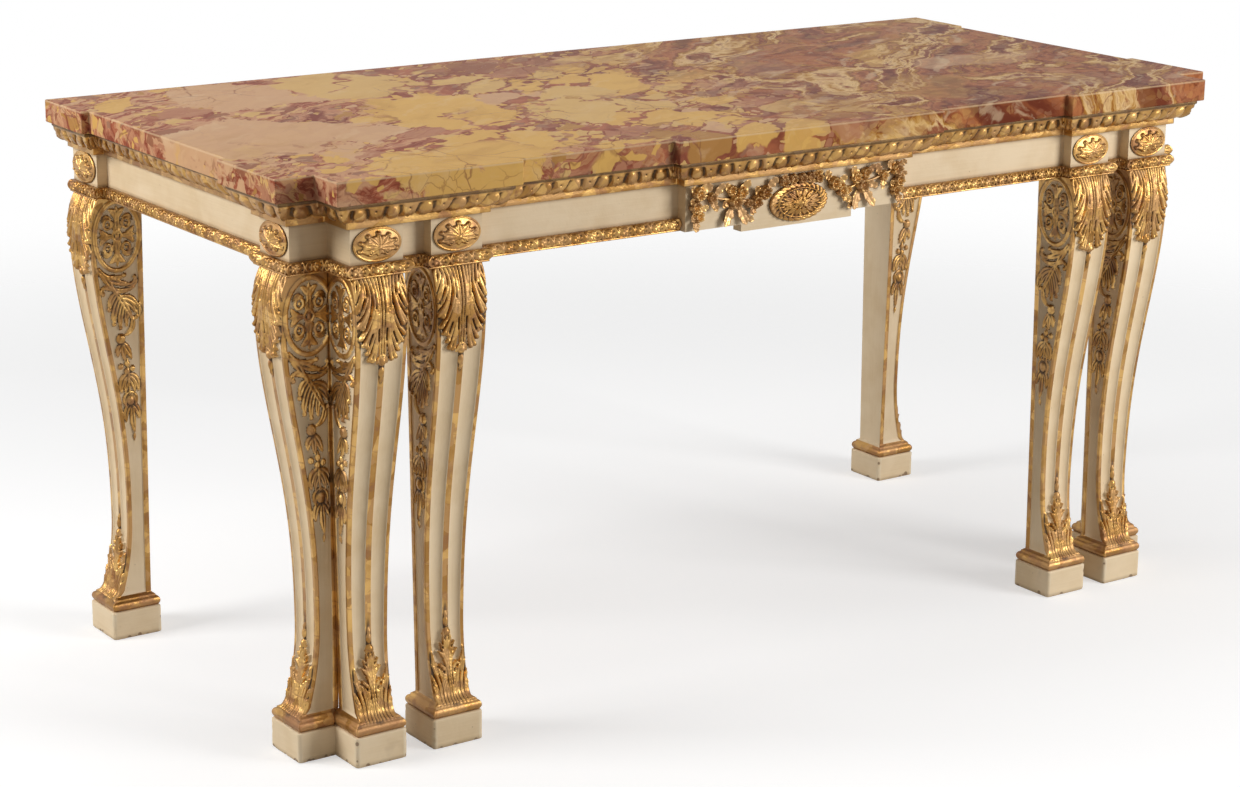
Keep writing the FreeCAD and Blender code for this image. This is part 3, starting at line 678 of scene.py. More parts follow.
@dataclass(frozen=True)
class ParcelGilt:
    """Cream paint with gilded edges and carving, told apart by the mesh's gilt value."""

    paint: CreamPaint
    gold: Gilding

    def material(self) -> Material:
        """Paint and gilding on one piece.

        Returns:
            The material.
        """
        graph = Graph("paint_and_gold_leaf")
        # Painted shade: the paint darkens where the crest value is low, in the hollows of the carving
        paint = self.paint.look(graph, Brush.UPRIGHT, graph.value("crest").fall(0.0, 0.35, 0.22))
        return self.gold.look(graph).over(paint, graph.value("gilt").ease(0.35, 0.65)).material(0.0005)


@dataclass(frozen=True)
class BlockPaint:
    """Cream paint of the plinths, laid off level, stained, darker along the floor and dark in the chips.
    """

    paint: CreamPaint

    def material(self) -> Material:
        """Paint with stains, darker along the floor.

        Returns:
            The material.
        """
        graph = Graph("block_paint")
        at = graph.place()
        # Darker in a band along the floor
        floor = graph.axis(at, "Z").fall(0.0, 0.014, 0.75)
        stain = graph.noise(at, 14.0, 3.0, 0.6).ease(0.52, 0.7, 0.0, 0.5)
        paint = self.paint.look(graph, Brush.LEVEL, floor.highest(stain))
        chipped = graph.value("crest").fall(0.2, 0.45, 0.75)
        paint.colour = graph.mix(chipped, paint.colour, self.paint.speck)
        return paint.material(0.0005)


@dataclass(frozen=True)
class FriezePaint:
    """Cream paint of the frieze boards, darkened by painted shade under the cornice and over the bead."""

    paint: CreamPaint
    foot: float
    head: float

    def material(self) -> Material:
        """Paint with painted shade along the two mouldings.

        Returns:
            The material.
        """
        graph = Graph("frieze_paint")
        height = graph.axis(graph.place(), "Z")
        # Painted shade in a band just over the bead and in another under the cornice
        below = height.fall(self.foot, self.foot + 0.009)
        below = below * height.ease(self.foot - 0.003, self.foot - 0.002)
        dirt_and_shade_mask = height.ease(self.head - 0.012, self.head).highest(below) * 0.75
        return self.paint.look(graph, Brush.LEVEL, dirt_and_shade_mask).material(0.0004)


@dataclass(frozen=True)
class BareWood:
    """Unpainted softwood of the hidden rail and braces, grain along the table."""

    pale: Colour = tint(176, 138, 92)
    dark: Colour = tint(112, 78, 46)

    def material(self) -> Material:
        """Streaked grain with darker late wood.

        Returns:
            The material.
        """
        graph = Graph("plain_wood")
        grain = graph.noise(graph.bent(graph.place((0.6, 9.0, 9.0)), 1.5, 0.35), 9.0, 5.0, 0.6)
        colour = graph.mix(grain.ease(0.35, 0.7), self.pale, self.dark)
        return Look(colour, 0.6 + 0.2 * grain, 0.0, grain).material(0.0008)


OCHRE = tint(220, 174, 98)
HONEY = tint(180, 132, 74)
STRAW = tint(216, 176, 112)
PINK = tint(210, 166, 126)
ROSE = tint(182, 126, 96)
MAUVE = tint(158, 114, 90)
BROWN = tint(152, 98, 72)


@dataclass(frozen=True)
class Stone:
    """One large body of stone in the slab, an oval in plan.

    Attributes:
        place: Middle of the oval in metres.
        radii: Its two half lengths in metres.
        turn: Turn of the first half length from the table's length, in degrees.
        colour: Colour of the stone.
        blur: Softness of the outline as a share of its size.
    """

    place: Place
    radii: Place
    turn: float
    colour: Colour
    blur: float = 0.03
    level: float = 0.88

    @property
    def weight(self) -> float:
        """How far the stone hides what lies under it, less where it fades into its surroundings."""
        return 0.45 if self.blur > 0.05 else 0.94

    def share(self, at: Socket, ragged: Socket) -> Socket:
        """1 inside the oval and 0 outside, with its outline pushed in and out by a ragged value.

        Args:
            at: Places on the slab.
            ragged: Push of the outline.

        Returns:
            Share of the stone.
        """
        graph = at.graph
        far = graph.length(graph.local(at, self.turn, self.radii, self.place, self.level))
        return (far + ragged).fall(1 - self.blur, 1 + self.blur)


@dataclass(frozen=True)
class Breccia:
    """Polished breccia: ochre and pink stones and small chips in an oxblood matrix, with cracks.

    Attributes:
        smears: Colours of the streaked matrix at the right, from dark to dark.
        blush: The same for the left.
        chips: Colours of the small stones.
        sieve: Scale of each size of chips, and how rare it is.
        grain: Way of the streaks from the table's length, in degrees.
        top: Height of the slab's face in metres.
        stones: The large stones.
    """

    oxblood: Colour = tint(136, 76, 62)
    brick: Colour = tint(178, 106, 78)
    pale: Colour = tint(228, 200, 162)
    crack: Colour = tint(122, 66, 56)
    smears: tuple[Colour, ...] = (
        tint(106, 50, 34), tint(152, 88, 54), tint(178, 112, 70), tint(122, 62, 40),
        tint(178, 126, 56), tint(230, 194, 138), tint(142, 78, 50), tint(112, 56, 38))
    blush: tuple[Colour, ...] = (
        tint(138, 70, 54), tint(204, 152, 114), tint(212, 164, 124), tint(186, 122, 92),
        tint(132, 66, 50), tint(172, 98, 72), tint(208, 158, 118), tint(214, 168, 116),
        tint(152, 80, 60), tint(202, 146, 110), tint(128, 64, 50))
    chips: tuple[Colour, ...] = (STRAW, PINK, OCHRE, ROSE, HONEY, STRAW, ROSE, OCHRE, BROWN, MAUVE)
    sieve: tuple[Place, ...] = ((92.0, 0.5), (38.0, 0.52), (17.0, 0.55))
    grain: float = 38.0
    top: float = 0.9
    stones: tuple[Stone, ...] = (
        Stone((-0.772, -0.078), (0.185, 0.165), 20, PINK),
        Stone((-0.65, 0.286), (0.15, 0.14), -15, PINK), Stone((-0.432, 0.28), (0.1, 0.14), 0, STRAW),
        Stone((-0.422, -0.002), (0.132, 0.155), 0, OCHRE),
        Stone((-0.566, -0.31), (0.21, 0.112), 30, OCHRE),
        Stone((-0.2, -0.06), (0.185, 0.088), 57, STRAW), Stone((-0.04, 0.09), (0.09, 0.052), 50, OCHRE),
        Stone((-0.11, 0.318), (0.15, 0.08), -15, BROWN, 0.1),
        Stone((0.278, 0.094), (0.14, 0.06), 65, MAUVE, 0.12),
        Stone((0.509, 0.052), (0.1, 0.036), 55, OCHRE, 0.1),
        Stone((0.67, -0.046), (0.14, 0.056), 10, PINK, 0.14),
        Stone((0.67, -0.312), (0.12, 0.052), 8, MAUVE, 0.14),
        Stone((0.124, -0.284), (0.14, 0.07), 35, HONEY, 0.1),
        Stone((-0.086, -0.277), (0.056, 0.042), 20, OCHRE),
        Stone((0.376, -0.242), (0.154, 0.07), 25, HONEY, 0.16))

    def drawn_out(self, at: Socket, stretch: float) -> Socket:
        """Places turned to the slab's grain and drawn out along it."""
        return at.graph.local(at, self.grain, (stretch, 1.0))

    def matrix(self, bent: Socket, along: Socket) -> Socket:
        """Red matrix packed with stone chips of three sizes, drawn out along the grain.

        Args:
            bent: Wandering places on the slab.
            along: Place along the slab in metres.

        Returns:
            Colour.
        """
        graph = bent.graph
        turned = self.drawn_out(bent, 1.9)
        smear = graph.noise(turned, 17.0, 5.0, 0.62, 0.4)
        streak = graph.noise(self.drawn_out(bent, 4.5), 15.0, 4.0, 0.6)
        flow = graph.noise(self.drawn_out(bent, 2.8), 5.2, 8.0, 0.62, 1.2)
        colour = graph.layers(
            self.oxblood, (smear.ease(0.4, 0.62), self.brick), (along.ease(-0.1, 0.45, 0.0, 0.35), BROWN),
            (streak.ease(0.48, 0.66) * along.ease(-0.15, 0.4, 0.1, 0.75), ROSE),
            (along.ease(-0.3, 0.25, 0.2, 0.95), graph.ramp(flow.ease(0.34, 0.68), "LINEAR", self.smears)),
            (along.fall(-0.55, -0.2, 0.85), graph.ramp(flow.ease(0.3, 0.7), "LINEAR", self.blush)))
        crowd = 0.7 * graph.noise(turned, 5.0, 2.0) - 0.35 + along.ease(-0.5, -0.1, -0.22, 0.0)
        crowd = crowd - along.ease(0.2, 0.6, 0.0, 0.1)
        for scale, kept in self.sieve:
            hue = graph.cells(turned, scale, out="Color")
            inside = graph.edges(turned, scale).ease(0.05, 0.1)
            shown = (graph.axis(hue, "Y") + crowd).ease(kept, kept + 0.03) * inside
            chip = graph.ramp(graph.axis(hue, "X"), "CONSTANT", self.chips)
            colour = graph.mix(shown * along.ease(-0.1, 0.3, 0.88, 0.18), colour, chip)
        return colour

    def material(self) -> Material:
        """Layers: matrix and chips, the large stones, clouds in these, cracks, wisps and a painted
        highlight on the arris.

        Returns:
            The material.
        """
        graph = Graph("breccia")
        at = graph.place()
        along, height = graph.axis(at, "X"), graph.axis(at, "Z")
        bent = graph.bent(graph.bent(at, 4.5, 0.16), 20.0, 0.04, 5.0)
        fine = graph.bent(at, 13.0, 0.06, 4.0)
        ragged = (graph.noise(self.drawn_out(fine, 1.6), 12.0, 6.0, 0.65) - 0.47) * 1.5
        vein = abs(graph.noise(fine, 5.5, 4.0, 0.6) - 0.5).ease(0.008, 0.03)
        eaten = vein.highest(graph.noise(at, 3.5, 1.0).fall(0.46, 0.56))
        shares = [stone.share(bent, ragged) * eaten for stone in self.stones]
        body = reduce(Socket.highest, shares)
        coats = [(share * stone.weight, stone.colour) for share, stone in zip(shares, self.stones)]
        cloud = graph.noise(self.drawn_out(bent, 2.2), 9.0, 7.0, 0.66)
        gate = graph.noise(at, 6.0, 2.0)
        web = graph.edges(fine, 9.0).fall(0.0, 0.02) * gate.ease(0.48, 0.6)
        crazed = graph.edges(bent, 30.0).fall(0.0, 0.04) * gate.ease(0.58, 0.66)
        cracks = web.highest(crazed * 0.7)
        wisp = graph.noise(self.drawn_out(fine, 6.0), 34.0, 3.0).ease(0.6, 0.7)
        # Painted highlight: a pale line along the polished top arris of the slab
        arris = height.ease(self.top - 0.004, self.top - 0.0018)
        arris = arris * height.fall(self.top - 0.0007, self.top - 0.0001)
        colour = graph.layers(
            self.matrix(fine, along), *coats, (cloud.ease(0.5, 0.72, 0.0, 0.45) * body, HONEY),
            (cloud.fall(0.28, 0.46, 0.35) * body, self.pale), (cracks * 0.6, self.crack),
            (wisp * along.ease(-0.2, 0.5, 0.15, 0.4), self.pale),
            (arris * (0.1 + 0.7 * cloud), self.pale))
        texture = 0.8 - 0.5 * cracks + 0.1 * cloud
        return Look(colour, 0.2 + 0.1 * cloud + 0.1 * cracks, 0.0, texture).material(0.0003, 0.004)


@dataclass(frozen=True)
class Acanthus:
    """Acanthus leaf down the middle of a leg's front, drawn in shares of its size.

    Rows of numbers are the root, bend and tip of a stroke, each as a share of half the width and
    a share of the length. Every cut is mirrored.

    Attributes:
        face: Face that the leaf is cut into.
        root: Height of the leaf's root.
        length: Length from root to tip, negative when the leaf hangs.
        half: Half the width of the leaf at its root.
    """

    face: Carving
    root: float
    length: float
    half: float

    def at(self, shares: Sequence[float]) -> Array:
        """Places of points given in shares of half the width and of the length, one row each."""
        return np.reshape(shares, (-1, 2)) * (self.half, self.length) + (0, self.root)

    def ridges(self, rows: Sequence[Sequence[float]], width: float, height: float, cut: Cut,
               groove: float) -> None:
        """Strokes of one kind, their width as a share of half the leaf's."""
        for row in rows:
            self.face.stroke(self.at(row), width * self.half, height, cut, groove, True)

    def buds(self) -> None:
        """A round bud in a collar of two sepals over the tip, and two slim ones beyond it."""
        self.ridges([(0.02, 1.0, 0.17, 1.03, 0.19, 1.12)], 0.14, 4.6, Cut.BLADE, 0.35)
        for beyond, radii, height in ((9, (6.2, 7.5), 6.6), (25, (4.2, 9.5), 5.2), (35, (2.6, 6), 4.0)):
            tip = self.root + self.length + math.copysign(beyond, self.length)
            self.face.boss((0, tip), radii, height)


class HangingAcanthus(Acanthus):
    """Leaf that hangs from the block: a ribbed stalk, and lobes that swing out over each other."""

    RIBS = (
        (0.0, -0.05, 0.0, 0.5, 0.0, 1.0), (0.14, -0.05, 0.11, 0.5, 0.1, 0.98),
        (0.29, -0.05, 0.17, 0.28, 0.21, 0.5), (0.44, -0.05, 0.27, 0.22, 0.32, 0.42),
        (0.59, -0.05, 0.4, 0.18, 0.48, 0.32), (0.74, -0.05, 0.56, 0.12, 0.64, 0.24),
        (0.9, -0.05, 0.76, 0.05, 0.8, 0.14))
    LOBES = np.array([
        (0.2, 0.46, 0.2, 0.82, 0.5, 1.04), (0.3, 0.4, 0.36, 0.64, 0.74, 0.84),
        (0.5, 0.26, 0.58, 0.44, 0.92, 0.6), (0.7, 0.1, 0.78, 0.24, 0.98, 0.41)])
    FAN = np.array([
        (-0.03, 0.0, -0.05, 0.0, -0.14, 0.02), (0.0, 0.0, 0.0, 0.0, 0.0, 0.0),
        (0.05, -0.03, 0.09, -0.06, 0.09, -0.09)])
    CUTS = (
        (0.15, 0.66, 0.15, 0.8), (0.4, 0.71, 0.54, 0.84), (0.48, 0.47, 0.68, 0.64),
        (0.7, 0.29, 0.88, 0.45))

    def carve(self) -> None:
        """Ribs that run into four lobes of three leaflets, deep cuts between them, and worn edges."""
        self.ridges(self.RIBS, 0.145, 5.2, Cut.STEM, 0)
        leaflets = [lobe + swing for lobe, swing in product(self.LOBES, self.FAN)]
        self.ridges(leaflets, 0.16, 6.4, Cut.LOBE, 0.12)
        self.ridges([(0.88, -0.02, 0.94, 0.08, 1.0, 0.22)], 0.15, 6.2, Cut.LOBE, 0.12)
        for leaflet in leaflets:
            self.face.boss(self.at(leaflet[4:] - (0.03, 0.015))[0], (3.2, 3.6), 7.2, True)
        for cut in self.CUTS:
            self.face.slit(*self.at(cut), 2.1, 4.8, True)
        self.face.height *= 1 - 0.55 * ease(np.abs(self.face.across) / self.half, 0.78, 1.0)
        self.buds()


class RisingAcanthus(Acanthus):
    """Leaf that rises from the foot: flames that sway in and out, and a fan of lobes in the middle."""

    FLAMES = (
        (0.24, 0.0, 0.1, 0.32, 0.42, 0.5), (0.42, 0.0, 0.22, 0.32, 0.72, 0.66),
        (0.6, 0.0, 0.42, 0.26, 0.9, 0.62), (0.78, 0.0, 0.62, 0.18, 1.02, 0.5),
        (0.93, 0.0, 0.8, 0.12, 1.04, 0.37), (1.03, 0.0, 0.93, 0.08, 1.05, 0.24),
        (0.62, 0.44, 0.8, 0.6, 0.82, 0.8))
    LOBES = (
        (0.06, 0.42, 0.08, 0.74, 0.52, 0.8), (0.06, 0.5, 0.1, 0.82, 0.4, 0.94),
        (0.04, 0.55, 0.07, 0.86, 0.2, 1.03), (0.0, 0.6, 0.0, 0.84, 0.03, 1.05))
    EYES = (0.28, 0.46, 0.29, 0.66, 0.24, 0.85, 0.58, 0.56, 0.84, 0.44)

    def carve(self) -> None:
        """Stalk, flames that overlap, a curled lobe on both sides, the fan, drilled eyes and buds."""
        self.ridges([(0.07, 0.0, 0.04, 0.4, 0.06, 0.9)], 0.15, 5.8, Cut.STEM, 0)
        self.ridges(self.FLAMES, 0.2, 5.8, Cut.CURL, 0.45)
        self.ridges([(0.2, 0.34, 0.2, 0.56, 0.46, 0.58)], 0.2, 6.4, Cut.CURL, 0.2)
        self.face.boss(self.at((0.43, 0.575))[0], (3.4, 3.8), 7.4, True)
        self.ridges(self.LOBES, 0.23, 6.4, Cut.CURL, 0.35)
        for eye in self.at(self.EYES):
            self.face.pit(eye, 2.1, 5.0, True)
        self.buds()


@dataclass
class ScrollLeg:
    """Pattern of one carved leg, facing the front, with its block face at y = 0 over its middle.

    'Out' means how far a place stands in front of the block face. Rows of numbers in the tables
    are a stroke's root, bend and tip from the middle of the hoop, and its width.

    Attributes:
        waist, shin, knee: Heights where the spacing of the rows changes.
        rows: Number of rows in each span of heights.
        leaf_drop, leaf_rise: Lengths of the two leaves on the front.
        dull: Share by which the crest value of the flank's carving is lowered, painted shade on its gold.
        lush: Widening of the flank's leaves.
        low_relief: Height of the flower in the hoop, as a share of its drawing.
    """

    top: float
    foot: float
    depth: float = 76
    head_width: float = 87
    foot_width: float = 62
    bulge: float = 14
    waist_setback: float = 38
    foot_setback: float = 22
    waist: float = 200
    shin: float = 340
    knee: float = 625
    rows: tuple[int, ...] = (20, 74, 24, 154, 96)
    scroll_drop: float = 58.5
    torus: float = 15.5
    fillet: float = 3.5
    scotia: float = 17
    ledge: float = 3
    pad: float = 88
    edge: float = 7
    rib: float = 11
    flute: float = 5
    under_leaf: float = 1.5
    leaf_drop: float = 116
    leaf_rise: float = 96
    border: float = 9.5
    sunk: float = 2.4
    arris: float = 1.1
    hoop: Place = (38.5, 57)
    hoop_band: float = 8.5
    hoop_height: float = 1.8
    hoop_out: float = -31.5
    hoop_drop: float = 63.5
    dull: float = 0.32
    lush: float = 1.25
    low_relief: float = 0.65

    RIB_COLUMNS = EDGE_COLUMNS = 7
    FLUTE_COLUMNS = 26
    BORDER_COLUMNS = 6
    PANEL_COLUMNS = 44
    QUARTER = (
        ((0, 8, 0, 28, 0, 52), 12, 4.8, Cut.BLADE, 0.45),
        ((7, 0, 18, 0, 34, 0), 11, 4.6, Cut.BLADE, 0.45),
        ((0, 27, 3, 41, 14, 44), 12, 5.2, Cut.CURL, 0.3),
        ((14, 0, 25, 3, 29, 14), 12, 5.0, Cut.CURL, 0.3),
        ((3, 6, 5, 22, 14, 29), 8.5, 4.6, Cut.STEM, 0.3),
        ((10, 29, 23, 37, 28, 22), 8.5, 4.4, Cut.BLADE, 0.3))
    SPRAY = (
        (34, -53, 20, -72, 2, -98, 10), (4, -94, -14, -120, -24, -143, 10),
        (-24, -138, -27, -163, -6, -168, 9), (26, -62, 4, -80, -22, -82, 11),
        (-16, -84, -34, -84, -29, -70, 9), (18, -66, 2, -73, -11, -65, 9),
        (14, -84, -8, -99, -31, -86, 8), (-6, -102, -26, -104, -34, -124, 11),
        (-30, -114, -38, -130, -30, -141, 8), (-12, -110, -24, -115, -29, -132, 8),
        (10, -88, 20, -80, 29, -86, 9), (25, -83, 33, -89, 26, -96, 7),
        (4, -96, 15, -102, 17, -122, 10), (-1, -104, 11, -124, 9, -147, 11),
        (-8, -113, 0, -134, -2, -154, 10), (-14, -122, -12, -138, -13, -153, 8))
    TIPS = ((-29, -71), (-11, -66), (27, -94), (17, -121), (9, -146), (-2, -153), (-30, -139))
    DROP = (
        (-5, -180, -14, -190, -20, -208, 11), (-5, -182, -6, -194, -8, -210, 9),
        (-4, -182, 5, -189, 4, -202, 10), (-12, -206, -14, -235, -15, -264, 5),
        (-13, -234, 2, -239, -1, -264, 11), (-15, -234, -31, -239, -31, -264, 11),
        (-14, -240, -7, -250, -8, -264, 8), (-16, -240, -24, -250, -24, -264, 8),
        (-16, -264, -3, -270, -8, -289, 8), (-16, -264, -30, -270, -25, -289, 8),
        (-17, -284, -5, -292, -8, -314, 10), (-18, -284, -31, -291, -31, -311, 10),
        (-19, -292, -20, -314, -22, -334, 9))
    BERRIES = ((-1, -219), (-12, -215), (-21, -224), (-11, -227))

    @property
    def fillet_top(self) -> float:
        """Height where the foot's fillet ends and its flare begins."""
        return self.foot + self.torus + self.fillet

    @property
    def ankle(self) -> float:
        """Height where the foot ends and the leg begins."""
        return self.fillet_top + self.scotia

    @property
    def scroll(self) -> float:
        """Height where the leg stands out furthest."""
        return self.top - self.scroll_drop

    @property
    def heights(self) -> Array:
        """Rows of the leg from floor to block, closer together at the carving.

        Returns:
            Heights, one row each.
        """
        levels = (self.foot, self.ankle, self.waist, self.shin, self.knee, self.top)
        ends = np.cumsum((0, *self.rows))
        return np.interp(np.arange(ends[-1] + 1), ends, levels)[:, None]

    def leg_out(self, z: Array) -> Array:
        """Front of the leg: a parabola up to the waist, a raised cosine to the scroll, then a parabola.

        Args:
            z: Heights.

        Returns:
            How far out the front stands.
        """
        fall = (self.waist - z) / (self.waist - self.ankle)
        low = (self.waist_setback - self.foot_setback) * fall**2 - self.waist_setback
        share = np.clip((z - self.waist) / (self.scroll - self.waist), 0, 1) ** 1.25
        middle = (self.bulge + self.waist_setback) * (1 - np.cos(np.pi * share)) / 2 - self.waist_setback
        high = self.bulge * (1 - ((z - self.scroll) / self.scroll_drop) ** 2)
        return np.where(z < self.waist, low, np.where(z < self.scroll, middle, high))

    def section(self, z: Array) -> tuple[Array, Array, Array]:
        """Half width, front and back of the leg at each height.

        The foot is a square pad: a torus whose inset is a parabola, a fillet, and above it a flare
        that eases quadratically into the leg, long at the front and a short ledge at the flanks and
        the back. The leg's half width grows linearly.

        Args:
            z: Heights.

        Returns:
            Half width, and how far out front and back stand.
        """
        half = np.interp(z, [self.ankle, self.top], [self.foot_width / 2, self.head_width / 2])
        front = self.leg_out(np.maximum(z, self.ankle))
        bulge = 1 + 3.5 * (2 * (z - self.foot) / self.torus - 1) ** 2
        inset = np.where(z < self.foot + self.torus, bulge, 7.0)
        flare = (1 - np.clip((z - self.fillet_top) / self.scotia, 0, 1)) ** 2
        ledge = (1 - np.clip((z - self.fillet_top) / self.ledge, 0, 1)) ** 2
        half = half + (self.pad / 2 - inset - half) * ledge
        front = front + (-inset - front) * flare
        return half, front, (inset - self.pad + self.depth) * ledge - self.depth

    def front_columns(self, half: Array) -> Array:
        """Places across a front of this half width, with columns on the borders of its parts.

        Args:
            half: Half width at each height.

        Returns:
            Places across, one row for each height.
        """
        rib = np.linspace(0, 1, self.RIB_COLUMNS) * self.rib / 2 + 0 * half
        flute = np.linspace(0, 1, self.FLUTE_COLUMNS)[1:]
        flute = flute * (half - self.edge - self.rib / 2) + self.rib / 2
        edge = np.linspace(0, 1, self.EDGE_COLUMNS)[1:] * (self.edge - self.arris) + half - self.edge
        side = np.concatenate([rib, flute, edge], 1)
        return np.concatenate([-side[:, :0:-1], side], 1)

    def flank_columns(self, front: Array, back: Array) -> Array:
        """Places across a flank from front to back, with columns on the panel's borders.

        Args:
            front: How far out the front stands at each height.
            back: The same for the back.

        Returns:
            Places from front to back, one row for each height.
        """
        share = np.linspace(0, 1, self.BORDER_COLUMNS)
        near = front - self.arris - share * (self.edge - self.arris)
        panel = np.linspace(0, 1, self.PANEL_COLUMNS)[1:-1]
        panel = panel * (back + self.border - front + self.edge) + front - self.edge
        far = back + self.border - share * (self.border - self.arris)
        return np.concatenate([near, panel, far], 1)

    def front_carving(self, x: Array, z: Array, half: Array) -> tuple[Array, Array]:
        """Front of the leg: two hollow flutes beside a rib, a leaf that hangs and one that rises.

        Args:
            x: Places across.
            z: Heights.
            half: Half width at each height.

        Returns:
            Height over the plain front and gilding, both over the grid.
        """
        leaf = Carving(x, z)
        HangingAcanthus(leaf, self.top + 1, -self.leaf_drop, self.head_width / 2).carve()
        RisingAcanthus(leaf, self.fillet_top, self.leaf_rise, self.foot_width / 2 + 2).carve()
        leaf.height *= 0.35 + 0.65 * ease(z, self.fillet_top - 2, self.fillet_top + 16)
        aside = np.abs(x) / half
        swell = 2.2 * ease(z, self.scroll - 40, self.scroll + 20) * (1 - aside**2)
        share = (np.abs(x) - self.rib / 2) / (half - self.edge - self.rib / 2)
        hollow = arch(2 * share - 1, 0.7) * ease(z, self.ankle, self.ankle + 24)
        hollow *= 1 - ease(z, self.top - 130, self.top - 96)
        hung = self.top - z < 102 - 20 * aside**3
        covered = hung | ((z < self.ankle + 14 + 12 * aside) & (z > self.fillet_top))
        gilt = np.maximum(leaf.gilt, covered | (share < 0) | (share > 1))
        under = np.where(covered, -self.under_leaf, -self.flute * hollow)
        return np.where(leaf.height > 0.2, leaf.height + swell, under), gilt

    def flank_carving(self, out: Array, z: Array, front: Array, back: Array) -> tuple[Array, Array, Array]:
        """Flank of the leg: a sunk panel with a patera in a hoop, a leaf spray and a drop of flowers.

        Args:
            out: Places from front to back.
            z: Heights.
            front: How far out the front stands.
            back: How far out the back stands.

        Returns:
            Height over the flank, gilding, and crest value lowered on the carving for painted shade on its
            gold.
        """
        carved, band = (Carving(out - self.hoop_out, z - self.top + self.hoop_drop) for _ in range(2))
        self.rosette(carved)
        carved.height *= self.low_relief
        self.spray(carved)
        self.drop(carved)
        band.hoop((0, 0), self.hoop, self.hoop_band, self.hoop_height)
        oval = np.hypot(band.across / self.hoop[0], band.up / self.hoop[1]) < 1
        inside = np.minimum(front - self.edge - out, out - back - self.border)
        sunk = ease(inside, -0.4, 0.6) * ease(z, self.ankle - 14, self.ankle - 12)
        sunk = np.where(band.up > 0, oval, np.maximum(sunk, oval))
        height = carved.height - self.sunk * sunk
        height = np.where(band.height > 0, np.maximum(height, band.height), height)
        gilt = np.maximum(np.maximum(carved.gilt, band.gilt), 1 - sunk)
        # Painted shade: the carving's crest value is lowered so that its gold is darker than on the front
        return height, gilt, crest(height) * (1 - self.dull * carved.gilt)

    def rosette(self, carved: Carving) -> None:
        """Flower in the hoop: a ringed boss, and four leaves that end in trefoils, scrolls between.

        Args:
            carved: Face that it is cut into.
        """
        carved.boss((0, 0), (4.5, 5.5), 6.0)
        carved.hoop((0, 0), (7.5, 9.5), 4, 5.2)
        for way in product((-1, 1), (-1, 1)):
            for row, *stroke in self.QUARTER:
                carved.stroke(np.reshape(row, (3, 2)) * way, *stroke)
            scroll = np.multiply((16, 20), way)
            carved.hoop(scroll, (6.4, 7.8), 5.5, 5.4)
            carved.boss(scroll, (2.8, 3.4), 5.4)

    def foliage(self, carved: Carving, rows: Sequence[Sequence[float]], height: float,
                groove: float) -> None:
        """Curled leaves of one height and one depth of vein."""
        for *path, width in rows:
            carved.stroke(np.reshape(path, (3, 2)), self.lush * width, height, Cut.CURL, groove)

    def spray(self, carved: Carving) -> None:
        """Scrolling leaf that grows from the front of the hoop, throws out leaves and ends in a ball.

        Args:
            carved: Face that it is cut into.
        """
        self.foliage(carved, self.SPRAY, 5.6, 0.5)
        for tip in self.TIPS:
            carved.boss(tip, (3.8, 4.2), 6.4)
        carved.boss((-2, -172), (8.5, 9.5), 6.2)
        carved.hoop((-2, -172), (4.6, 5.4), 3, 6.6)

    def drop(self, carved: Carving) -> None:
        """Drop of leaves, blossoms and a bud below the ball of the spray.

        Args:
            carved: Face that it is cut into.
        """
        self.foliage(carved, self.DROP, 5.4, 0.4)
        for berry in self.BERRIES:
            carved.boss(berry, (5.2, 5.6), 5.6)
            carved.pit(berry, 1.5, 2.4)
        carved.boss((-16, -277), (8, 10), 6.8)
        carved.boss((-22, -340), (2.6, 6), 4.4)

    @cached_property
    def surface(self) -> Surface:
        """Leg as one closed tube: front, flanks and back round each row, with eased arrises.

        Returns:
            The tube.
        """
        z = self.heights
        half, front, back = self.section(z)
        x, out = self.front_columns(half), self.flank_columns(front, back)
        face_height, face_gilt = self.front_carving(x, z, half)
        side_height, side_gilt, side_crest = self.flank_carving(out, z, front, back)
        side_height = side_height * ease(z, self.ankle - 16, self.ankle - 8)
        pad = np.where(z < self.ankle - self.scotia, 1.0, 0.0)
        side_gilt = np.maximum(side_gilt, pad)
        nip = 0.3 * self.arris

        def band(x: Array, out: Array, gilt: Array | float = 1.0, ridge: Array | float = EVEN) -> Array:
            """Columns of the tube, gilt and even where nothing else is said."""
            return grid(x, -out, z, gilt, ridge)

        return Surface.tube(np.concatenate([
            band(x, front + face_height, np.maximum(face_gilt, pad), crest(face_height)),
            band(half - nip, front - nip), band(half + side_height, out, side_gilt, side_crest),
            band(half - nip, back + nip), band(np.linspace(1, -1, 3) * (half - self.arris), back, pad),
            band(nip - half, back + nip), band(-half - side_height, out, side_gilt, side_crest)[:, ::-1],
            band(nip - half, front - nip)], 1))


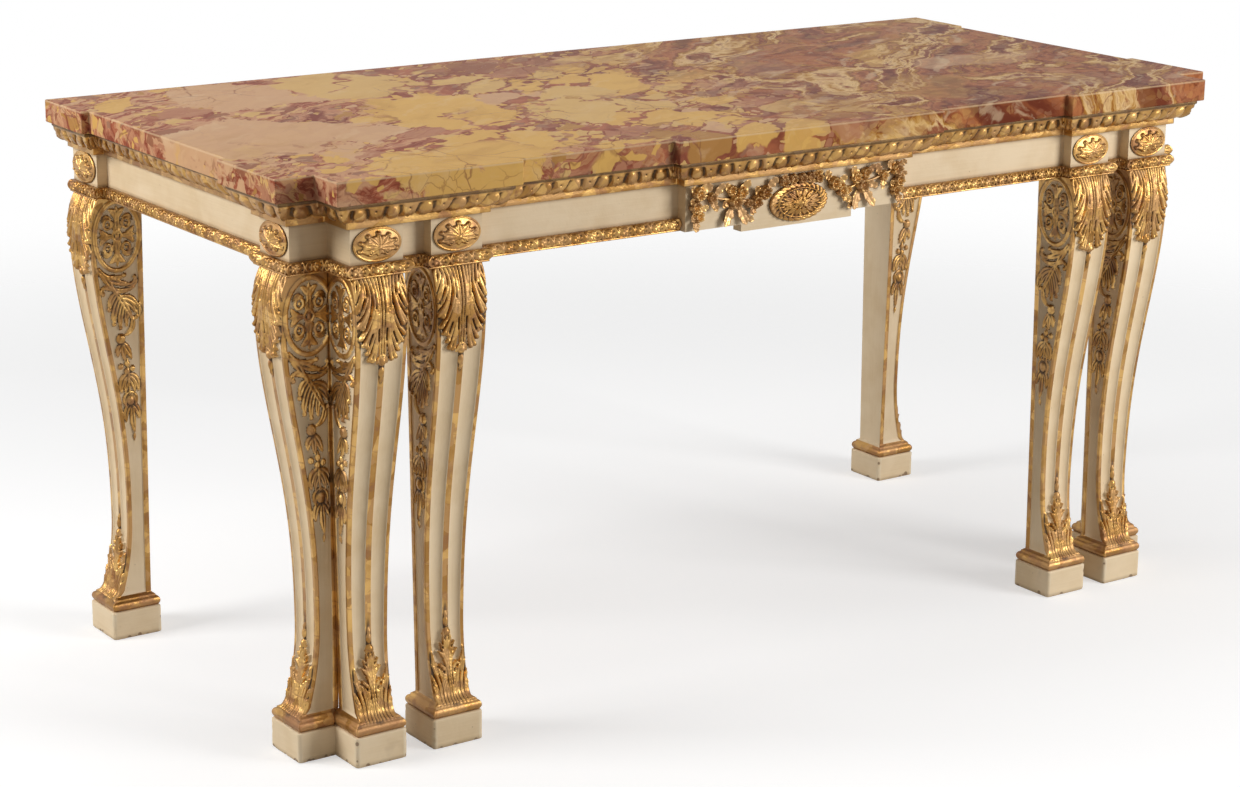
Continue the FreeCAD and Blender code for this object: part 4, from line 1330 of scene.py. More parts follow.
@dataclass
class Stance:
    """Where a leg stands: the way it faces and the point of its block face over its middle."""

    leg: str

    @property
    def facing(self) -> Facing:
        """Way the leg faces, from its name.

        Returns:
            The way.
        """
        if self.leg.startswith("front"):
            return Facing.FRONT
        return Facing.LEFT if "left" in self.leg else Facing.RIGHT

    @property
    def foot(self) -> Array:
        """Point of the block face plane over the middle of the leg, taken from its plinth.

        Returns:
            The point, at the height of the floor.
        """
        low, high = corners(f"{self.leg}_plinth")
        x, y, _ = (low + high) / 2
        ends = {Facing.FRONT: (x, low[1]), Facing.LEFT: (low[0], y), Facing.RIGHT: (high[0], y)}
        return np.array([*ends[self.facing], 0])

    def put(self, points: Array) -> Array:
        """Points of the pattern leg, put where this leg stands and kept clear of the corner leg."""
        placed = self.facing.turned(points) + self.foot
        return self.clear(placed) if self.leg.startswith("side") else placed

    def clear(self, points: Array, gap: float = 0.3, shaft: float = 70, setback: float = 12) -> Array:
        """Points inside the corner leg's room moved out of it by the shorter way.

        Args:
            points: Points of a side leg in its place.
            gap: Clearance between the two legs.
            shaft: Height over which the corner leg is less deep than its plinth.
            setback: How much less deep it is there.

        Returns:
            The points, with those in the room on its nearer wall.
        """
        hand = self.leg.removeprefix("side_")
        low, high = corners(f"front_{hand}_outer_plinth")
        sign = 1 if hand == "left" else -1
        x, y, z = points.T
        wall = (low[0] if sign > 0 else high[0]) * sign - gap
        rear = high[1] + gap - np.where(z > shaft, setback, 0)
        into, under = x * sign - wall, rear - y
        inside = (into > 0) & (under > 0)
        x = np.where(inside & (into <= under), wall * sign, x)
        y = np.where(inside & (into > under), rear, y)
        return np.stack([x, y, z], -1)


@dataclass
class Plinth:
    """Painted block under a foot, with rubbed arrises and chips along its edges.

    Attributes:
        height: Height of the block.
        size: Its width and depth.
        rounding: Radius of its upper and lower edges.
        square: Power of the curve that makes its plan.
        corner: Greatest reach of a corner, in half widths.
        chips: Number of chips.
    """

    height: float
    size: float = 88
    rounding: float = 3.2
    square: int = 22
    corner: float = 1.36
    chips: int = 30

    POINTS = 288
    EDGE_ROWS = 6
    SHAFT_ROWS = 22

    def surface(self, seed: int) -> Surface:
        """Square of a high power carried up and drawn in at both ends, less round dents in its edges.

        Args:
            seed: Start of the draws that place the chips.

        Returns:
            The block, its front in the plane of the leg's block face.
        """
        turn, eased = circle(self.POINTS), np.linspace(0, np.pi / 2, self.EDGE_ROWS)
        drawn, level = self.rounding * (1 - np.sin(eased)), self.rounding * (1 - np.cos(eased))
        inset = np.concatenate([drawn, np.zeros(self.SHAFT_ROWS), drawn[::-1]])[:, None]
        shaft = np.linspace(level[-1], self.height - level[-1], self.SHAFT_ROWS + 2)[1:-1]
        z = np.concatenate([level, shaft, self.height - level[::-1]])[:, None]
        across, deep = np.cos(turn), np.sin(turn)
        reach = (np.abs(across) ** self.square + np.abs(deep) ** self.square) ** (-1 / self.square)
        radius = np.minimum((self.size / 2 - inset) * reach, self.size / 2 * self.corner)
        arris = np.clip(ease(reach, 1.24, 1.35) + ease(inset, 0.3, 1.6), 0, 1)
        dents = self.dents(radius * across, radius * deep, z + 0 * radius, seed)
        radius = radius - dents
        chipped = np.clip(2 * dents, 0, 1)
        ridge = np.clip(EVEN + 0.42 * arris * (1 - chipped) - 0.45 * chipped, 0, 1)
        return Surface.tube(grid(radius * across, radius * deep + self.size / 2, z, 0.0, ridge))

    def dents(self, x: Array, y: Array, z: Array, seed: int) -> Array:
        """Depth of the chips: bells with middles drawn along the upright arrises and the lower edges.

        Args:
            x: Places across, from the middle.
            y: Places to the back, from the middle.
            z: Heights.
            seed: Start of the draws.

        Returns:
            Depth of the deepest chip at each place.
        """
        draw = np.random.default_rng(seed)
        half = self.size / 2
        upright = draw.random(self.chips) < 0.4
        along = draw.uniform(-1, 1, self.chips)
        corner = draw.choice([-1.0, 1.0], (self.chips, 2))
        turned = draw.random(self.chips) < 0.5
        across = np.where(upright, corner[:, 0], np.where(turned, along, corner[:, 0])) * half
        deep = np.where(upright, corner[:, 1], np.where(turned, corner[:, 1], along)) * half
        up = np.where(upright, draw.uniform(0, self.height, self.chips), draw.exponential(1.2, self.chips))
        size = draw.uniform(1.2, 3.6, self.chips)
        depth = draw.uniform(0.4, 1.5, self.chips)
        gaps = (x[..., None] - across) ** 2 + (y[..., None] - deep) ** 2 + (z[..., None] - up) ** 2
        return (depth * np.exp(-gaps / size**2)).max(-1)


@dataclass
class Moulding:
    """Gilt moulding: a closed profile carried along mitred lengths, with carving that repeats.

    HEAD and TOE are the plain parts of the profile, as shares of reach and height.

    Attributes:
        path: Plan of the wall line, from left to right with the outside on the right hand.
        foot: Height of the profile's foot.
        ends: Mitre at the two ends, 1 outside, -1 inside and 0 square.
        pitch: Length of one repeat of the carving.
        height: Height of the profile.
        reach: How far it stands out.
        depth: Difference in height over which the carving runs from dark to bright.
        samples: Places along one repeat.
        dirt: Lowering of the head's crest value, painted shade on a head that lies under the slab.
    """

    path: Sequence[Place]
    foot: float
    ends: Place
    pitch: float
    height: float
    reach: float
    depth: float
    samples: int = 30
    dirt: float = 0.0

    HEAD = TOE = ()

    def curve(self) -> Array:
        """Carved part of the profile from its head to its toe, as shares of reach and height."""
        raise NotImplementedError

    def ornament(self, phase: Array, share: Array) -> Array:
        """Height of the carving at a phase from -0.5 to 0.5 and a place on the carved part."""
        raise NotImplementedError

    def surface(self) -> Surface:
        """Each straight length is a grid of places along it by places round the profile.

        A place along a length runs from one mitre plane to the other at its own distance out,
        so that neighbouring lengths meet in the same points.

        Returns:
            The whole moulding as one tube.
        """
        plan = np.array(self.path, float)
        runs = np.diff(plan, axis=0)
        lengths = np.hypot(*runs.T)
        ways = runs / lengths[:, None]
        turns = np.sign(ways[:-1, 0] * ways[1:, 1] - ways[:-1, 1] * ways[1:, 0])
        mitres = np.concatenate([self.ends[:1], turns, self.ends[1:]])
        curve = self.curve()
        shape = np.concatenate([np.transpose(self.HEAD), curve, np.transpose(self.TOE)], 1)
        out, up = shape * np.array([[self.reach], [self.height]])
        plain = [np.full(len(part), -1.0) for part in (self.HEAD, self.TOE)]
        share = np.concatenate([plain[0], np.linspace(1, 0, curve.shape[1]), plain[1]])
        # Painted shade on the head: its crest value is lowered so that the gilding darkens there
        dirt = np.where(np.arange(len(share)) < len(self.HEAD), self.dirt, 0)
        lean = np.gradient(out), np.gradient(up)
        normal = np.stack([-lean[1], lean[0]]) / np.maximum(np.hypot(*lean), TINY)
        parts = []
        for start, way, length, near, far in zip(plan, ways, lengths, mitres, mitres[1:]):
            middle = length + (near + far) * 0.6 * out.max()
            cells = max(1, round(middle / self.pitch))
            along = np.linspace(0, 1, cells * self.samples + 1)[:, None]
            carved = self.ornament((along * cells) % 1 - 0.5, share) * np.where(share >= 0, 1, 0)
            carved = carved * min(1.0, middle / cells / self.pitch)
            reach, rise = out + carved * normal[0], up + carved * normal[1]
            place = -near * reach + along * (length + (near + far) * reach)
            x = start[0] + way[0] * place + way[1] * reach
            y = start[1] + way[1] * place - way[0] * reach
            ridge = crest(carved, 3, self.depth) - dirt
            parts.append(grid(x, y, rise + self.foot, 1.0, ridge)[1 if parts else 0:])
        return Surface.tube(np.concatenate(parts))


@dataclass
class Cornice(Moulding):
    """Egg-and-dart under the slab: fillet, ovolo and a thin fillet at its head, darkened by painted shade.
    """

    pitch: float = 52
    height: float = 42
    reach: float = 38
    depth: float = 7.0
    dirt: float = 0.28

    HEAD = (
        (0, 1), (0.5, 1), (0.91, 1), (0.93, 0.985), (0.93, 0.93), (0.93, 0.87), (0.91, 0.85),
        (0.88, 0.84))
    TOE = ((0.24, 0.23), (0.24, 0.12), (0.24, 0.015), (0.23, 0), (0.1, 0), (0, 0), (0, 0.5))

    def curve(self) -> Array:
        """Ovolo: nearly a quarter of a flattened circle."""
        turn = np.linspace(np.pi / 2, 0, 26) * 0.96
        return np.stack([0.24 + 0.62 * np.sin(turn), 0.25 + 0.58 * (1 - np.cos(turn))])

    def ornament(self, phase: Array, share: Array) -> Array:
        """A small egg between scooped crescents, and a slim dart under a drilled eye between two eggs.

        Args:
            phase: Place along one repeat, from -0.5 to 0.5.
            share: Place on the carved part, from 0 at its toe to 1 at its head.

        Returns:
            Height in millimetres.
        """
        lean = phase - 0.05 * (share - 0.5)
        egg = np.hypot(lean / 0.17, (share - 0.52) / 0.42)
        ring = np.exp(-np.abs((egg - 1.5) / 0.4) ** 4) * np.clip(np.abs(lean) / 0.2, 0, 1) ** 1.2
        side = 0.5 - np.abs(phase)
        dart = arch(side / 0.03) * ease(share, 0.08, 0.2) * (1 - ease(share, 0.55, 0.62))
        eye = bell(np.hypot(side * self.pitch / 1.8, (share - 0.78) * 32 / 1.8))
        height = 1.8 * arch(egg) - 5.0 * ring + 1.5 * dart - 3.6 * eye
        return height * ease(share, 0.0, 0.08) * ease(1 - share, 0.0, 0.08)


@dataclass
class Bead(Moulding):
    """Half-round at the foot of the frieze with blossoms and crossed leaves, on a thin fillet."""

    pitch: float = 30
    height: float = 19
    reach: float = 12
    depth: float = 6.5

    HEAD = ((0, 1.0), (0.25, 1.0))
    TOE = ((0.6, 0.15), (0.66, 0.13), (0.66, 0.02), (0.63, 0), (0.3, 0), (0, 0), (0, 0.5))

    def curve(self) -> Array:
        """Half circle."""
        turn = np.linspace(np.pi / 2, -np.pi / 2, 20)
        return np.stack([0.5 + 0.42 * np.cos(turn), 0.58 + 0.42 * np.sin(turn)])

    def ornament(self, phase: Array, share: Array) -> Array:
        """A blossom of five petals in the middle, leaves that cross beside it, and drilled eyes.

        Args:
            phase: Place along one repeat, from -0.5 to 0.5.
            share: Place on the carved part, from 0 at its toe to 1 at its head.

        Returns:
            Height in millimetres.
        """
        x, y = phase * self.pitch, (share - 0.5) * 24
        radius, turn = np.hypot(x, y), np.arctan2(y, x)
        petals = (0.25 + 0.75 * np.abs(np.cos(2.5 * turn))) * bell((radius - 5.6) / 3.6)
        side = (0.5 - np.abs(phase)) * self.pitch
        leaf = bell((side - 0.45 * np.abs(y) - 0.6) / 2.5)
        hole = bell(np.hypot(side - 5.6, np.abs(y) - 4.0) / 1.8)
        height = 4.2 * petals + 2.4 * bell(radius / 2.3) + 3.6 * leaf - 2.0 * hole - 1.8
        return height * ease(share, 0.0, 0.12) * ease(1 - share, 0.0, 0.12)


@dataclass
class OvalBoss:
    """Carved oval on the frieze, sized by the CAD node that it stands for."""

    node: str
    facing: Facing = Facing.FRONT
    leaves: int = 7
    around: int = 168

    RINGS = 46

    def carved(self, x: Array, y: Array, half: Array) -> Array:
        """Patera: a fan of leaves with curled tips over a knot, scrolls and short leaves below, a rim.

        Args:
            x: Places across the oval, from its middle.
            y: Places up the oval, from its middle.
            half: Half the oval's width and height.

        Returns:
            Height of the carving in millimetres.
        """
        knot = 0.14 * half[1]
        work = Carving(x, y + knot)
        step = math.radians(204 / (self.leaves - 1))
        for turn in np.arange(self.leaves) * step - math.radians(12):
            self.ray(work, half, (0.08, 0.42, 0.78), (turn, turn + 0.1, turn), 12, 3.8, Cut.BLADE, 0.5)
            between = turn + step * np.array([0, 0.4, 0.5])
            self.ray(work, half, (0.2, 0.4, 0.56), between, 6, 3.2, Cut.LOBE, 0)
            work.boss(half * (0.76 * math.cos(turn), 0.78 * math.sin(turn)), (3.6, 3.2), 4.4)
        for turn in np.radians((232, 270, 308)):
            self.ray(work, half, (0.1, 0.3, 0.5), turn, 9, 2.6, Cut.BLADE, 0.4)
        for side in (-1, 1):
            scroll = half * (side * 0.34, -0.28)
            work.hoop(scroll, (3.6, 3.6), 3.2, 3.6)
            work.boss(scroll, (1.8, 1.8), 3.6)
        work.boss((0, 0), half * (0.14, 0.17), 4.6)
        work.hoop((0, knot), half - 1.6, 3.0, 1.4)
        return work.height - 0.8

    @staticmethod
    def ray(work: Carving, half: Array, shares: Sequence[float], turns: Array | Sequence[float] | float,
            width: float, height: float, cut: Cut, groove: float) -> None:
        """Stroke whose root, bend and tip are given as shares of the oval and turns round its middle."""
        across, up = np.multiply(shares, np.cos(turns)), np.multiply(shares, np.sin(turns))
        work.stroke(half * np.stack([across, up], -1), width, height, cut, groove)

    def surface(self) -> Surface:
        """Oval rings from the wall to the crown, their heights those of a flat dome and the carving.

        Returns:
            The oval in its place.
        """
        low, high = corners(self.node)
        size, wall = (high - low) / 2, (low + high) / 2
        across, deep = (0, 1) if self.facing is Facing.FRONT else (1, 0)
        wall[deep] = low[deep] if self.facing is Facing.RIGHT else high[deep]
        half, stand = size[[across, 2]], 2 * size[deep]
        turn = circle(self.around)
        share = np.concatenate([[1.0, 1.0], np.linspace(1, 0.03, self.RINGS)])[:, None]
        edge = 0.3 * stand
        dome = edge + (stand - edge - 2.0) * (1 - share**2)
        x, y = share * half[0] * np.cos(turn), share * half[1] * np.sin(turn)
        lift = np.maximum(dome + self.carved(x, y, half), 0.5)
        lift[0], lift[1] = 0, edge * 0.8
        rings = grid(x, -lift, y, 1.0, crest(lift, 3, 3.2))[:, ::-1]
        body = Surface.dome(rings, (0.0, -lift[-1].mean(), 0.0))
        return body.moved(lambda points: self.facing.turned(points) + wall)


@dataclass
class Medallion(OvalBoss):
    """Oval in the middle of the tablet: a border of slanting leaves round a raised rosette."""

    leaves: int = 14
    around: int = 240
    border: int = 28
    petals: int = 7

    def carved(self, x: Array, y: Array, half: Array) -> Array:
        """Slanting leaves between the outline and a fillet, then petals, drilled eyes and a boss.

        Args:
            x: Places across the oval, from its middle.
            y: Places up the oval, from its middle.
            half: Half the oval's width and height.

        Returns:
            Height of the carving in millimetres.
        """
        work = Carving(x, y)
        for turn in circle(self.border):
            slant = turn, turn + 0.05, turn + 0.2
            self.ray(work, half, (0.8, 0.88, 0.97), slant, 7, 3.0, Cut.LOBE, 0.3)
        work.hoop((0, 0), 0.755 * half, 3.2, 4.2)
        between = circle(self.leaves) + np.pi / self.leaves
        for turn, gap in zip(circle(self.leaves), between):
            self.ray(work, half, (0.3, 0.45, 0.7), turn, 8, 3.4, Cut.BLADE, 0.5)
            self.ray(work, half, (0.6, 0.63, 0.7), gap, 4, 3.4, Cut.LOBE, 0)
        for turn in circle(self.petals):
            twist = turn, turn + 0.1, turn + 0.25
            self.ray(work, half, (0.11, 0.18, 0.3), twist, 8, 3.4, Cut.BLADE, 0.4)
        work.boss((0, 0), half * (0.1, 0.13), 4.8)
        for gap in between:
            work.pit(0.34 * half * (math.cos(gap), math.sin(gap)), 1.5, 2.6)
        return work.height - 0.6


@dataclass
class Garland:
    """Flowers, leaves and stems of a festoon, carved free over the tablet's face.

    Places are (across, up) on the face, in millimetres.

    Attributes:
        face: Place of the tablet's face on the table's depth.
        sway: Turn of a flower for each millimetre across.
        flower_lift: How far the flowers stand off the face.
        leaf_lift: The same for the leaves.
        curl: How far a leaf's tip curls up.
    """

    face: float
    sway: float
    flower_lift: float
    leaf_lift: float
    curl: float = 6.0
    parts: list[Surface] = field(default_factory=list)

    FLOWER_RINGS = 24
    FLOWER_POINTS = 72
    LEAF_ROWS = 40
    LEAF_POINTS = 24
    STEM_STEPS = 14
    STEM_POINTS = 10
    SMOOTHINGS = 6

    def laid(self, across: Array, up: Array, out: Array, ridge: Array | float, lift: float) -> Array:
        """Points given by their places on the tablet's face, how far they stand out and their crest."""
        return grid(across, self.face - out - lift, up, 1.0, ridge)

    def flower(self, x: float, y: float, radius: float, petals: int) -> None:
        """Blossom: rings with a petalled outline that rise to a ribbed lip and dip to a cup and a heart.

        Args:
            x: Place across.
            y: Place up.
            radius: Radius of the blossom.
            petals: Number of its petals.
        """
        turn = circle(self.FLOWER_POINTS)
        share = np.concatenate([[0.86, 1.0], np.linspace(1, 0.06, self.FLOWER_RINGS)])[:, None]
        swirl = turn + self.sway * x + 0.25 * share
        petal = np.abs(np.cos(petals / 2 * swirl))
        ribs = np.cos(3 * petals * swirl) * ease(share, 0.3, 0.6)
        outline = share * radius * (0.68 + 0.32 * petal**0.5)
        cup = 0.55 + 0.34 * ease(share, 0.2, 0.7) - 0.4 * ease(share, 0.75, 1.0)
        cup = cup + 0.36 * arch(share / 0.22)
        out = radius * (cup + 0.3 * petal**0.7 * ease(share, 0.2, 0.6) + 0.06 * ribs)
        out[0], out[1] = 0, 0.4 * radius
        # Crest value, low in the cup and between petals, sets the painted shade on the gilding
        ridge = np.clip(0.3 + 0.26 * out / radius + 0.2 * petal + 0.1 * ribs, 0, 1)
        across, up = x + outline * np.cos(turn), y + outline * np.sin(turn)
        rings = self.laid(across, up, out, ridge, self.flower_lift)
        crown = x, self.face - out[-1].mean() - self.flower_lift, y
        self.parts.append(Surface.dome(rings, crown))

    def leaf(self, root: Place, tip: Place, width: float) -> None:
        """Leaf: a lens carried from root to tip with three lobes to a side, a vein and a curled tip.

        Args:
            root: Place of the root.
            tip: Place of the tip.
            width: Width of the leaf.
        """
        along = np.linspace(0, 1, self.LEAF_ROWS)[:, None]
        turn = circle(self.LEAF_POINTS)
        across, over = np.cos(turn), np.sin(turn)
        way = np.subtract(tip, root)
        lobes = np.cos(5 * np.pi * along)
        spread = np.sin(np.pi * (0.06 + 0.92 * along)) ** 0.6 * (0.88 + 0.12 * lobes)
        side = 0.5 * width * np.maximum(spread, 0.05) * across / np.hypot(*way)
        thick = 1.8 * over + 2.0 * np.abs(across) ** 1.5 - 1.2 * bell(across / 0.25) * (over > 0)
        thick = thick * np.maximum(spread, 0.2) + 0.5 * lobes * np.abs(across) ** 0.7
        out = np.maximum(2.2 + self.curl * along**2 + thick, 0.1)
        x, y = root[0] + way[0] * along - way[1] * side, root[1] + way[1] * along + way[0] * side
        # Crest value, lower in the vein and on the underside, sets the painted shade on the gilding
        ridge = np.clip(0.36 + 0.14 * thick, 0, 1)
        self.parts.append(Surface.tube(self.laid(x, y, out, ridge, self.leaf_lift)[::-1]))

    def stem(self, places: Sequence[Place], radius: float = 2.4, lift: float = 0.4) -> None:
        """Round stem through a few places, its line a smooth curve through them.

        Args:
            places: Places on its line.
            radius: Radius of the stem.
            lift: How far it stands off the face.
        """
        knots = np.array(places, float)
        along = np.linspace(0, len(knots) - 1, self.STEM_STEPS * (len(knots) - 1) + 1)
        line = np.stack([np.interp(along, np.arange(len(knots)), knots[:, axis]) for axis in (0, 1)], -1)
        for _ in range(self.SMOOTHINGS):
            line[1:-1] = (line[:-2] + 2 * line[1:-1] + line[2:]) / 4
        way = np.gradient(line, axis=0)
        way = way / np.hypot(*way.T)[:, None]
        turn = circle(self.STEM_POINTS)
        side, out = radius * np.cos(turn), radius * (1 + np.sin(turn))
        x, y = line[:, :1] - way[:, 1:] * side, line[:, 1:] + way[:, :1] * side
        self.parts.append(Surface.tube(self.laid(x, y, out, 0.45, lift)[::-1]))

    def bunch(self, stems: Sequence, flowers: Sequence, leaves: Sequence) -> Surface:
        """All stems, flowers and leaves as one surface.

        Args:
            stems: Places on each stem.
            flowers: Place, radius and petals of each flower.
            leaves: Root, tip and width of each leaf.

        Returns:
            One surface.
        """
        for places in stems:
            self.stem(places)
        for row in flowers:
            self.flower(*row)
        for *ends, width in leaves:
            self.leaf(ends[:2], ends[2:], width)
        return Surface.joined(self.parts)


@dataclass
class Festoons:
    """Two festoons of the tablet and the spray over the medallion.

    A festoon is a pendant at the end, two swags and a crossed drop between them.
    """

    face: float
    gilding: Material

    STEMS = (
        ((-200, 816), (-186, 803), (-171, 799), (-150, 793), (-122, 790), (-100, 784), (-82, 786),
         (-58, 802)),
        ((-199, 818), (-201, 795), (-197, 775), (-200, 760)),
        ((-105, 814), (-118, 796), (-133, 772), (-145, 757)))
    FLOWERS = (
        (-197, 806, 12, 5), (-203, 787, 11, 6), (-196, 771, 10, 5), (-171, 798, 9.5, 5),
        (-127, 787, 13, 6), (-114, 800, 10.5, 5), (-85, 783, 11, 5), (-69, 796, 12, 6),
        (-134, 806, 9.5, 5), (-99, 782, 7.5, 5))
    LEAVES = (
        (-200, 766, -205, 748.5, 15.6), (-194, 812, -174, 818, 18), (-204, 812, -214, 819, 13.2),
        (-164, 801, -152, 820, 15.6), (-172, 795, -164, 777, 14.4), (-118, 797, -102, 820, 18),
        (-137, 806, -150, 819, 13.2), (-131, 781, -149, 751, 18), (-119, 779, -107, 750, 18),
        (-113, 764, -93, 755, 13.2), (-137, 790, -155, 783, 14.4), (-86, 776, -100, 765, 15.6),
        (-78, 792, -90, 808, 15.6), (-62, 803, -48, 818, 16.8), (-205, 792, -215, 801, 12),
        (-193, 780, -182, 788, 12), (-203, 776, -213, 766, 12))
    SPRAY_STEMS = (((-42, 814), (-20, 812), (0, 814), (20, 812), (42, 814)),)
    SPRAY_FLOWERS = (
        (-32, 809, 9.5, 5), (-14, 812, 8.5, 6), (4, 811, 9, 5), (20, 812, 8.5, 6), (36, 809, 9.5, 5))
    SPRAY_LEAVES = (
        (-24, 814, -40, 819, 11), (26, 815, 42, 819, 11), (-6, 812, -22, 803, 11),
        (12, 812, 26, 803, 11))

    def build(self) -> None:
        """Make the three pieces."""
        left = Garland(self.face, 0.1, 0.0, 2.5).bunch(self.STEMS, self.FLOWERS, self.LEAVES)
        spray = Garland(self.face, 0.2, 2.0, 3.5)
        spray = spray.bunch(self.SPRAY_STEMS, self.SPRAY_FLOWERS, self.SPRAY_LEAVES)
        left.build("left_flower_festoon", self.gilding, "gilding", "left_festoon")
        left.mirrored().build("right_flower_festoon", self.gilding, "gilding", "right_festoon")
        spray.build("flower_spray", self.gilding, "gilding", "medallion_spray")


@dataclass
class Mouldings:
    """Cornice and bead, in the mitred lengths of the CAD model."""

    gilding: Material

    def corner_plan(self) -> tuple[list[Place], list[Place], list[Place]]:
        """Wall lines of the left side, and of the front's left half for the cornice and for the bead.

        Returns:
            The three lines, from the back to the front and from left to right.
        """
        wall, front, _ = corners("front_left_corner_block")[0]
        rear_low, rear_high = corners("back_left_block")
        recess = corners("left_side_rail")[0][0]
        set_back = corners("front_rail")[0][1]
        (inner_low, *_), (inner, *_) = corners("front_left_inner_block")
        tablet = corners("tablet_panel")[0][0]
        outer, side = Stance("front_left_outer").foot[0], Stance("side_left").foot[1]
        half = (inner - inner_low) / 2
        step = outer - half
        sides = [(wall, rear_high[1]), (wall, rear_low[1]), (recess, rear_low[1]), (recess, side + half),
                 (wall, side + half), (wall, side - half), (step, side - half), (step, front)]
        tail = [(inner, front), (inner, set_back), (tablet, set_back)]
        bead = [(step, front), (outer + half, front), (outer + half, set_back), (inner_low, set_back),
                (inner_low, front), *tail]
        return sides, [(step, front), *tail, (tablet, front)], bead

    def build(self) -> None:
        """Make the three cornice lengths and the four bead lengths."""
        sides, cornice, bead = self.corner_plan()
        far_sides, far_cornice, far_bead = (
            [(-x, y) for x, y in line[::-1]] for line in (sides, cornice, bead))
        head = corners("left_cornice")[0][2]
        foot = corners("left_side_bead")[0][2]
        lengths = {
            "egg_and_dart_left": (Cornice(sides, head, (0, 1)), "left_cornice"),
            "egg_and_dart_front": (Cornice(cornice + far_cornice, head, (1, 1)), "front_cornice"),
            "egg_and_dart_right": (Cornice(far_sides, head, (1, 0)), "right_cornice"),
            "blossom_bead_left": (Bead(sides, foot, (0, 1)), "left_side_bead"),
            "blossom_bead_front_left": (Bead(bead, foot, (1, 0)), "front_left_bead"),
            "blossom_bead_front_right": (Bead(far_bead, foot, (0, 1)), "front_right_bead"),
            "blossom_bead_right": (Bead(far_sides, foot, (1, 0)), "right_side_bead"),
        }
        for name, (moulding, node) in lengths.items():
            moulding.surface().build(name, self.gilding, "gilding", node)


@dataclass
class Legs:
    """Eight carved legs with their plinths and the paterae on the blocks over them."""

    parcel_gilt: Material
    block_paint: Material
    gilding: Material

    def build(self) -> None:
        """Make every leg, plinth and patera."""
        foot = corners("front_left_outer_plinth")[1][2]
        pattern = ScrollLeg(corners("front_left_outer_leg")[1][2], foot).surface
        stands = product(("left", "right"), ("back_{}", "side_{}", "front_{}_outer", "front_{}_inner"))
        for number, (hand, place) in enumerate(stands):
            name = place.format(hand)
            stance = Stance(name)
            pieces = (("scroll_leg", pattern.moved(stance.put), self.parcel_gilt, "parcel_gilt", "leg"),
                      ("worn_plinth", Plinth(foot).surface(number).moved(stance.put), self.block_paint,
                       "cream_paint", "plinth"),
                      ("carved_patera", OvalBoss(f"{name}_patera", stance.facing).surface(), self.gilding,
                       "gilding", "patera"))
            for piece, surface, finish, slot, node in pieces:
                surface.build(f"{name}_{piece}", finish, slot, f"{name}_{node}")


@dataclass
class CarriedParts:
    """CAD solids that keep their shape and get their finish here."""

    cream: Material
    tablet: Material
    wood: Material
    marble: Material

    def build(self) -> None:
        """Dress each solid by its name."""
        for name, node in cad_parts.items():
            if name == "marble_top":
                finish = self.marble
            elif name == "back_rail" or "brace" in name or "dowels" in name:
                finish = self.wood
            elif name == "tablet_panel":
                finish = self.tablet
            elif name.endswith(("rail", "block")):
                finish = self.cream
            else:
                continue
            node.data.materials.clear()
            node.data.materials.append(finish)
            LOG.info("%s: %s", name, finish.name)


@dataclass(frozen=True)
class SoftBox:
    """Square lamp that looks at the middle of the table."""

    name: str
    place: Colour
    size: float
    power: float
    aim: Colour = (0.0, 0.0, 0.55)

    def build(self) -> None:
        """Hang the lamp."""
        light = bpy.data.lights.new(self.name, "AREA")
        light.size, light.energy = self.size, self.power
        lamp = bpy.data.objects.new(self.name, light)
        turn = (Vector(self.aim) - Vector(self.place)).to_track_quat("-Z", "Y")
        lamp.matrix_world = Matrix.Translation(self.place) @ turn.to_matrix().to_4x4()
        bpy.context.scene.collection.objects.link(lamp)


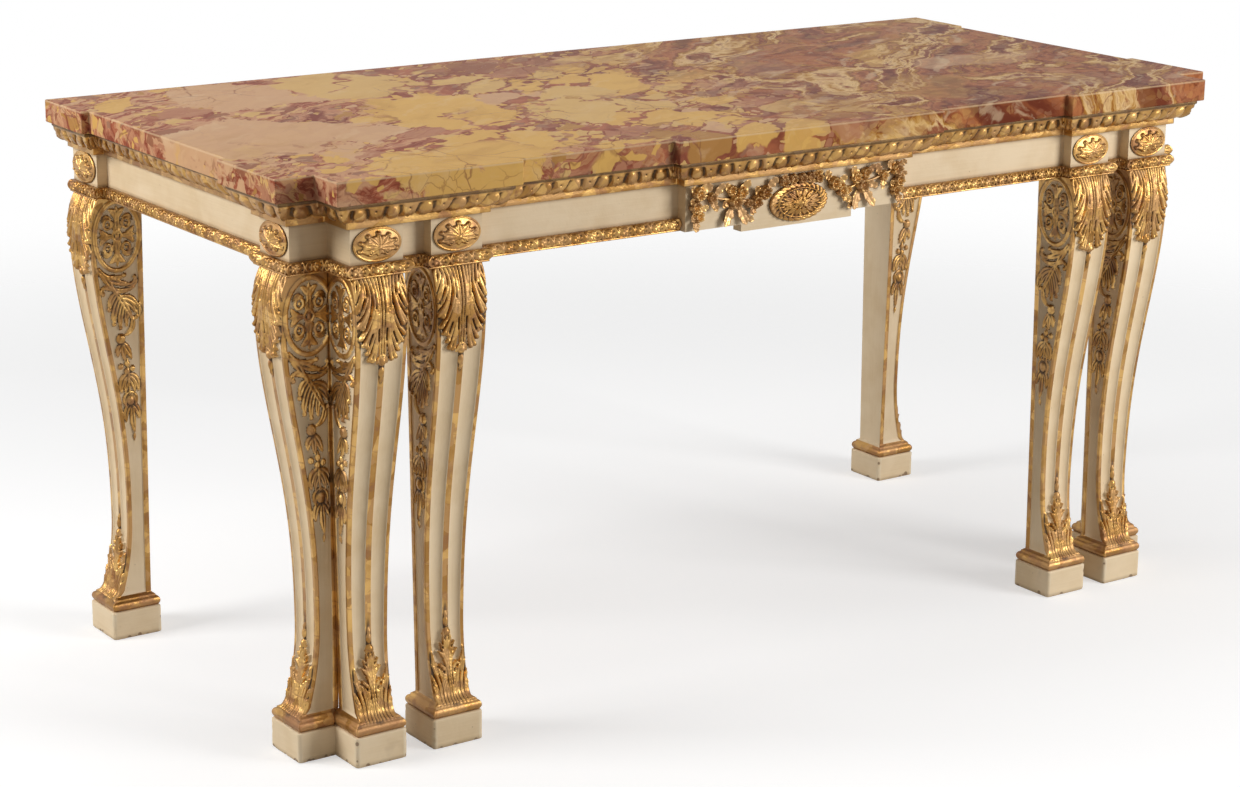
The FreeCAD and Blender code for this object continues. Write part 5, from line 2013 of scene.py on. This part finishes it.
@dataclass
class Studio:
    """Floor, lamps, surroundings and the camera at the photograph's angle.

    Attributes:
        stand: Place of the camera in metres.
        heading: Turn of its view from the table's depth towards the right, in degrees.
        pitch: Tilt of its view, in degrees.
        roll: Turn about its view, in degrees.
        lens: Focal length in millimetres on a 36 mm frame.
        shift: Shift of the picture in widths.
        ambient: Strength of the light all round.
        glow: Strength of the floor's own light.
        reach: Half the floor's width in metres.
    """

    stand: Colour = (-2.807, -3.886, 1.698)
    heading: float = 35.368
    pitch: float = -15.435
    roll: float = 0.714
    lens: float = 84.56
    shift: Place = (-0.0101, -0.0008)
    ambient: float = 0.13
    glow: float = 0.52
    reach: float = 5.0
    lamps: tuple[SoftBox, ...] = (
        SoftBox("left_lamp", (-4.2, 1.2, 2.4), 2.0, 139),
        SoftBox("right_lamp", (2.6, -3.8, 1.7), 2.0, 150),
        SoftBox("top_lamp", (0.0, 0.2, 3.8), 2.6, 34),
    )

    def camera(self) -> None:
        """Camera whose axes come from heading, pitch and roll."""
        turn, tilt, roll = (math.radians(angle) for angle in (self.heading, self.pitch, self.roll))
        view = Vector((math.sin(turn) * math.cos(tilt), math.cos(turn) * math.cos(tilt), math.sin(tilt)))
        right = view.cross(Vector((0, 0, 1))).normalized()
        over = right.cross(view)
        side = math.cos(roll) * right + math.sin(roll) * over
        up = math.cos(roll) * over - math.sin(roll) * right
        lens = bpy.data.cameras.new("photo_camera")
        lens.lens, lens.sensor_width = self.lens, 36.0
        lens.shift_x, lens.shift_y = self.shift
        camera = bpy.data.objects.new("photo_camera", lens)
        turned = Matrix((side, up, -view)).transposed().to_4x4()
        camera.matrix_world = Matrix.Translation(self.stand) @ turned
        bpy.context.scene.collection.objects.link(camera)
        bpy.context.scene.camera = camera

    def surroundings(self) -> None:
        """Dim white light all round that the camera and reflections see as plain white."""
        graph = Graph("white_room", "worlds")
        strength = graph.seen().ease(0.0, 1.0, self.ambient, 1.0)
        back = graph.node("Background", {"Color": (1.0, 1.0, 1.0), "Strength": strength})
        graph.node("OutputWorld", {"Surface": back})
        bpy.context.scene.world = graph.owner

    def floor(self) -> None:
        """Pale floor that shows the table's shadow and fades into the white room."""
        mesh = bpy.data.meshes.new("pale_floor")
        rim = [(x * self.reach, y * self.reach, 0) for x, y in ((-1, -1), (1, -1), (1, 1), (-1, 1))]
        mesh.from_pydata(rim, [], [(0, 1, 2, 3)])
        graph = Graph("pale_floor")
        matt = graph.node("BsdfDiffuse", {"Color": (0.6, 0.6, 0.6)})
        glow = graph.node("Emission", {"Color": (1.0, 1.0, 1.0), "Strength": graph.seen() * self.glow})
        lit = graph.node("AddShader", {0: matt, 1: glow})
        faded = graph.length(graph.place()).ease(1.6, 3.6)
        shader = graph.node("MixShader", {0: faded, 1: lit, 2: graph.node("BsdfTransparent")})
        graph.node("OutputMaterial", {"Surface": shader})
        mesh.materials.append(graph.owner)
        plane = bpy.data.objects.new("pale_floor", mesh)
        bpy.context.scene.collection.objects.link(plane)

    def build(self) -> None:
        """Set up the whole studio."""
        bpy.context.scene.view_settings.view_transform = "Standard"
        self.camera()
        self.surroundings()
        self.floor()
        for lamp in self.lamps:
            lamp.build()


def main() -> None:
    """Build the table's pieces in order, then the studio."""
    logging.basicConfig(level=logging.INFO, format="%(name)s %(message)s")
    paint, gold = CreamPaint(), Gilding()
    gilding = gold.material()
    bead_top = corners("left_side_bead")[1][2] * MM
    cornice_foot = corners("left_cornice")[0][2] * MM
    frieze, tablet = (FriezePaint(paint, foot, cornice_foot).material() for foot in (bead_top, 0.0))
    CarriedParts(frieze, tablet, BareWood().material(), Breccia().material()).build()
    Legs(ParcelGilt(paint, gold).material(), BlockPaint(paint).material(), gilding).build()
    Mouldings(gilding).build()
    medallion = Medallion("tablet_medallion")
    medallion.surface().build("carved_medallion", gilding, "gilding", medallion.node)
    # Painted light: the festoons get a copy of the gilding with lighter base colours, and less metal
    matt_lightened_gold = Gilding(tint(212, 173, 112), tint(164, 123, 70), metal=0.7, name="matt_lightened_gold_leaf")
    Festoons(corners("tablet_panel")[0][1], matt_lightened_gold.material()).build()
    Studio().build()


if __name__ == "__main__":
    main()
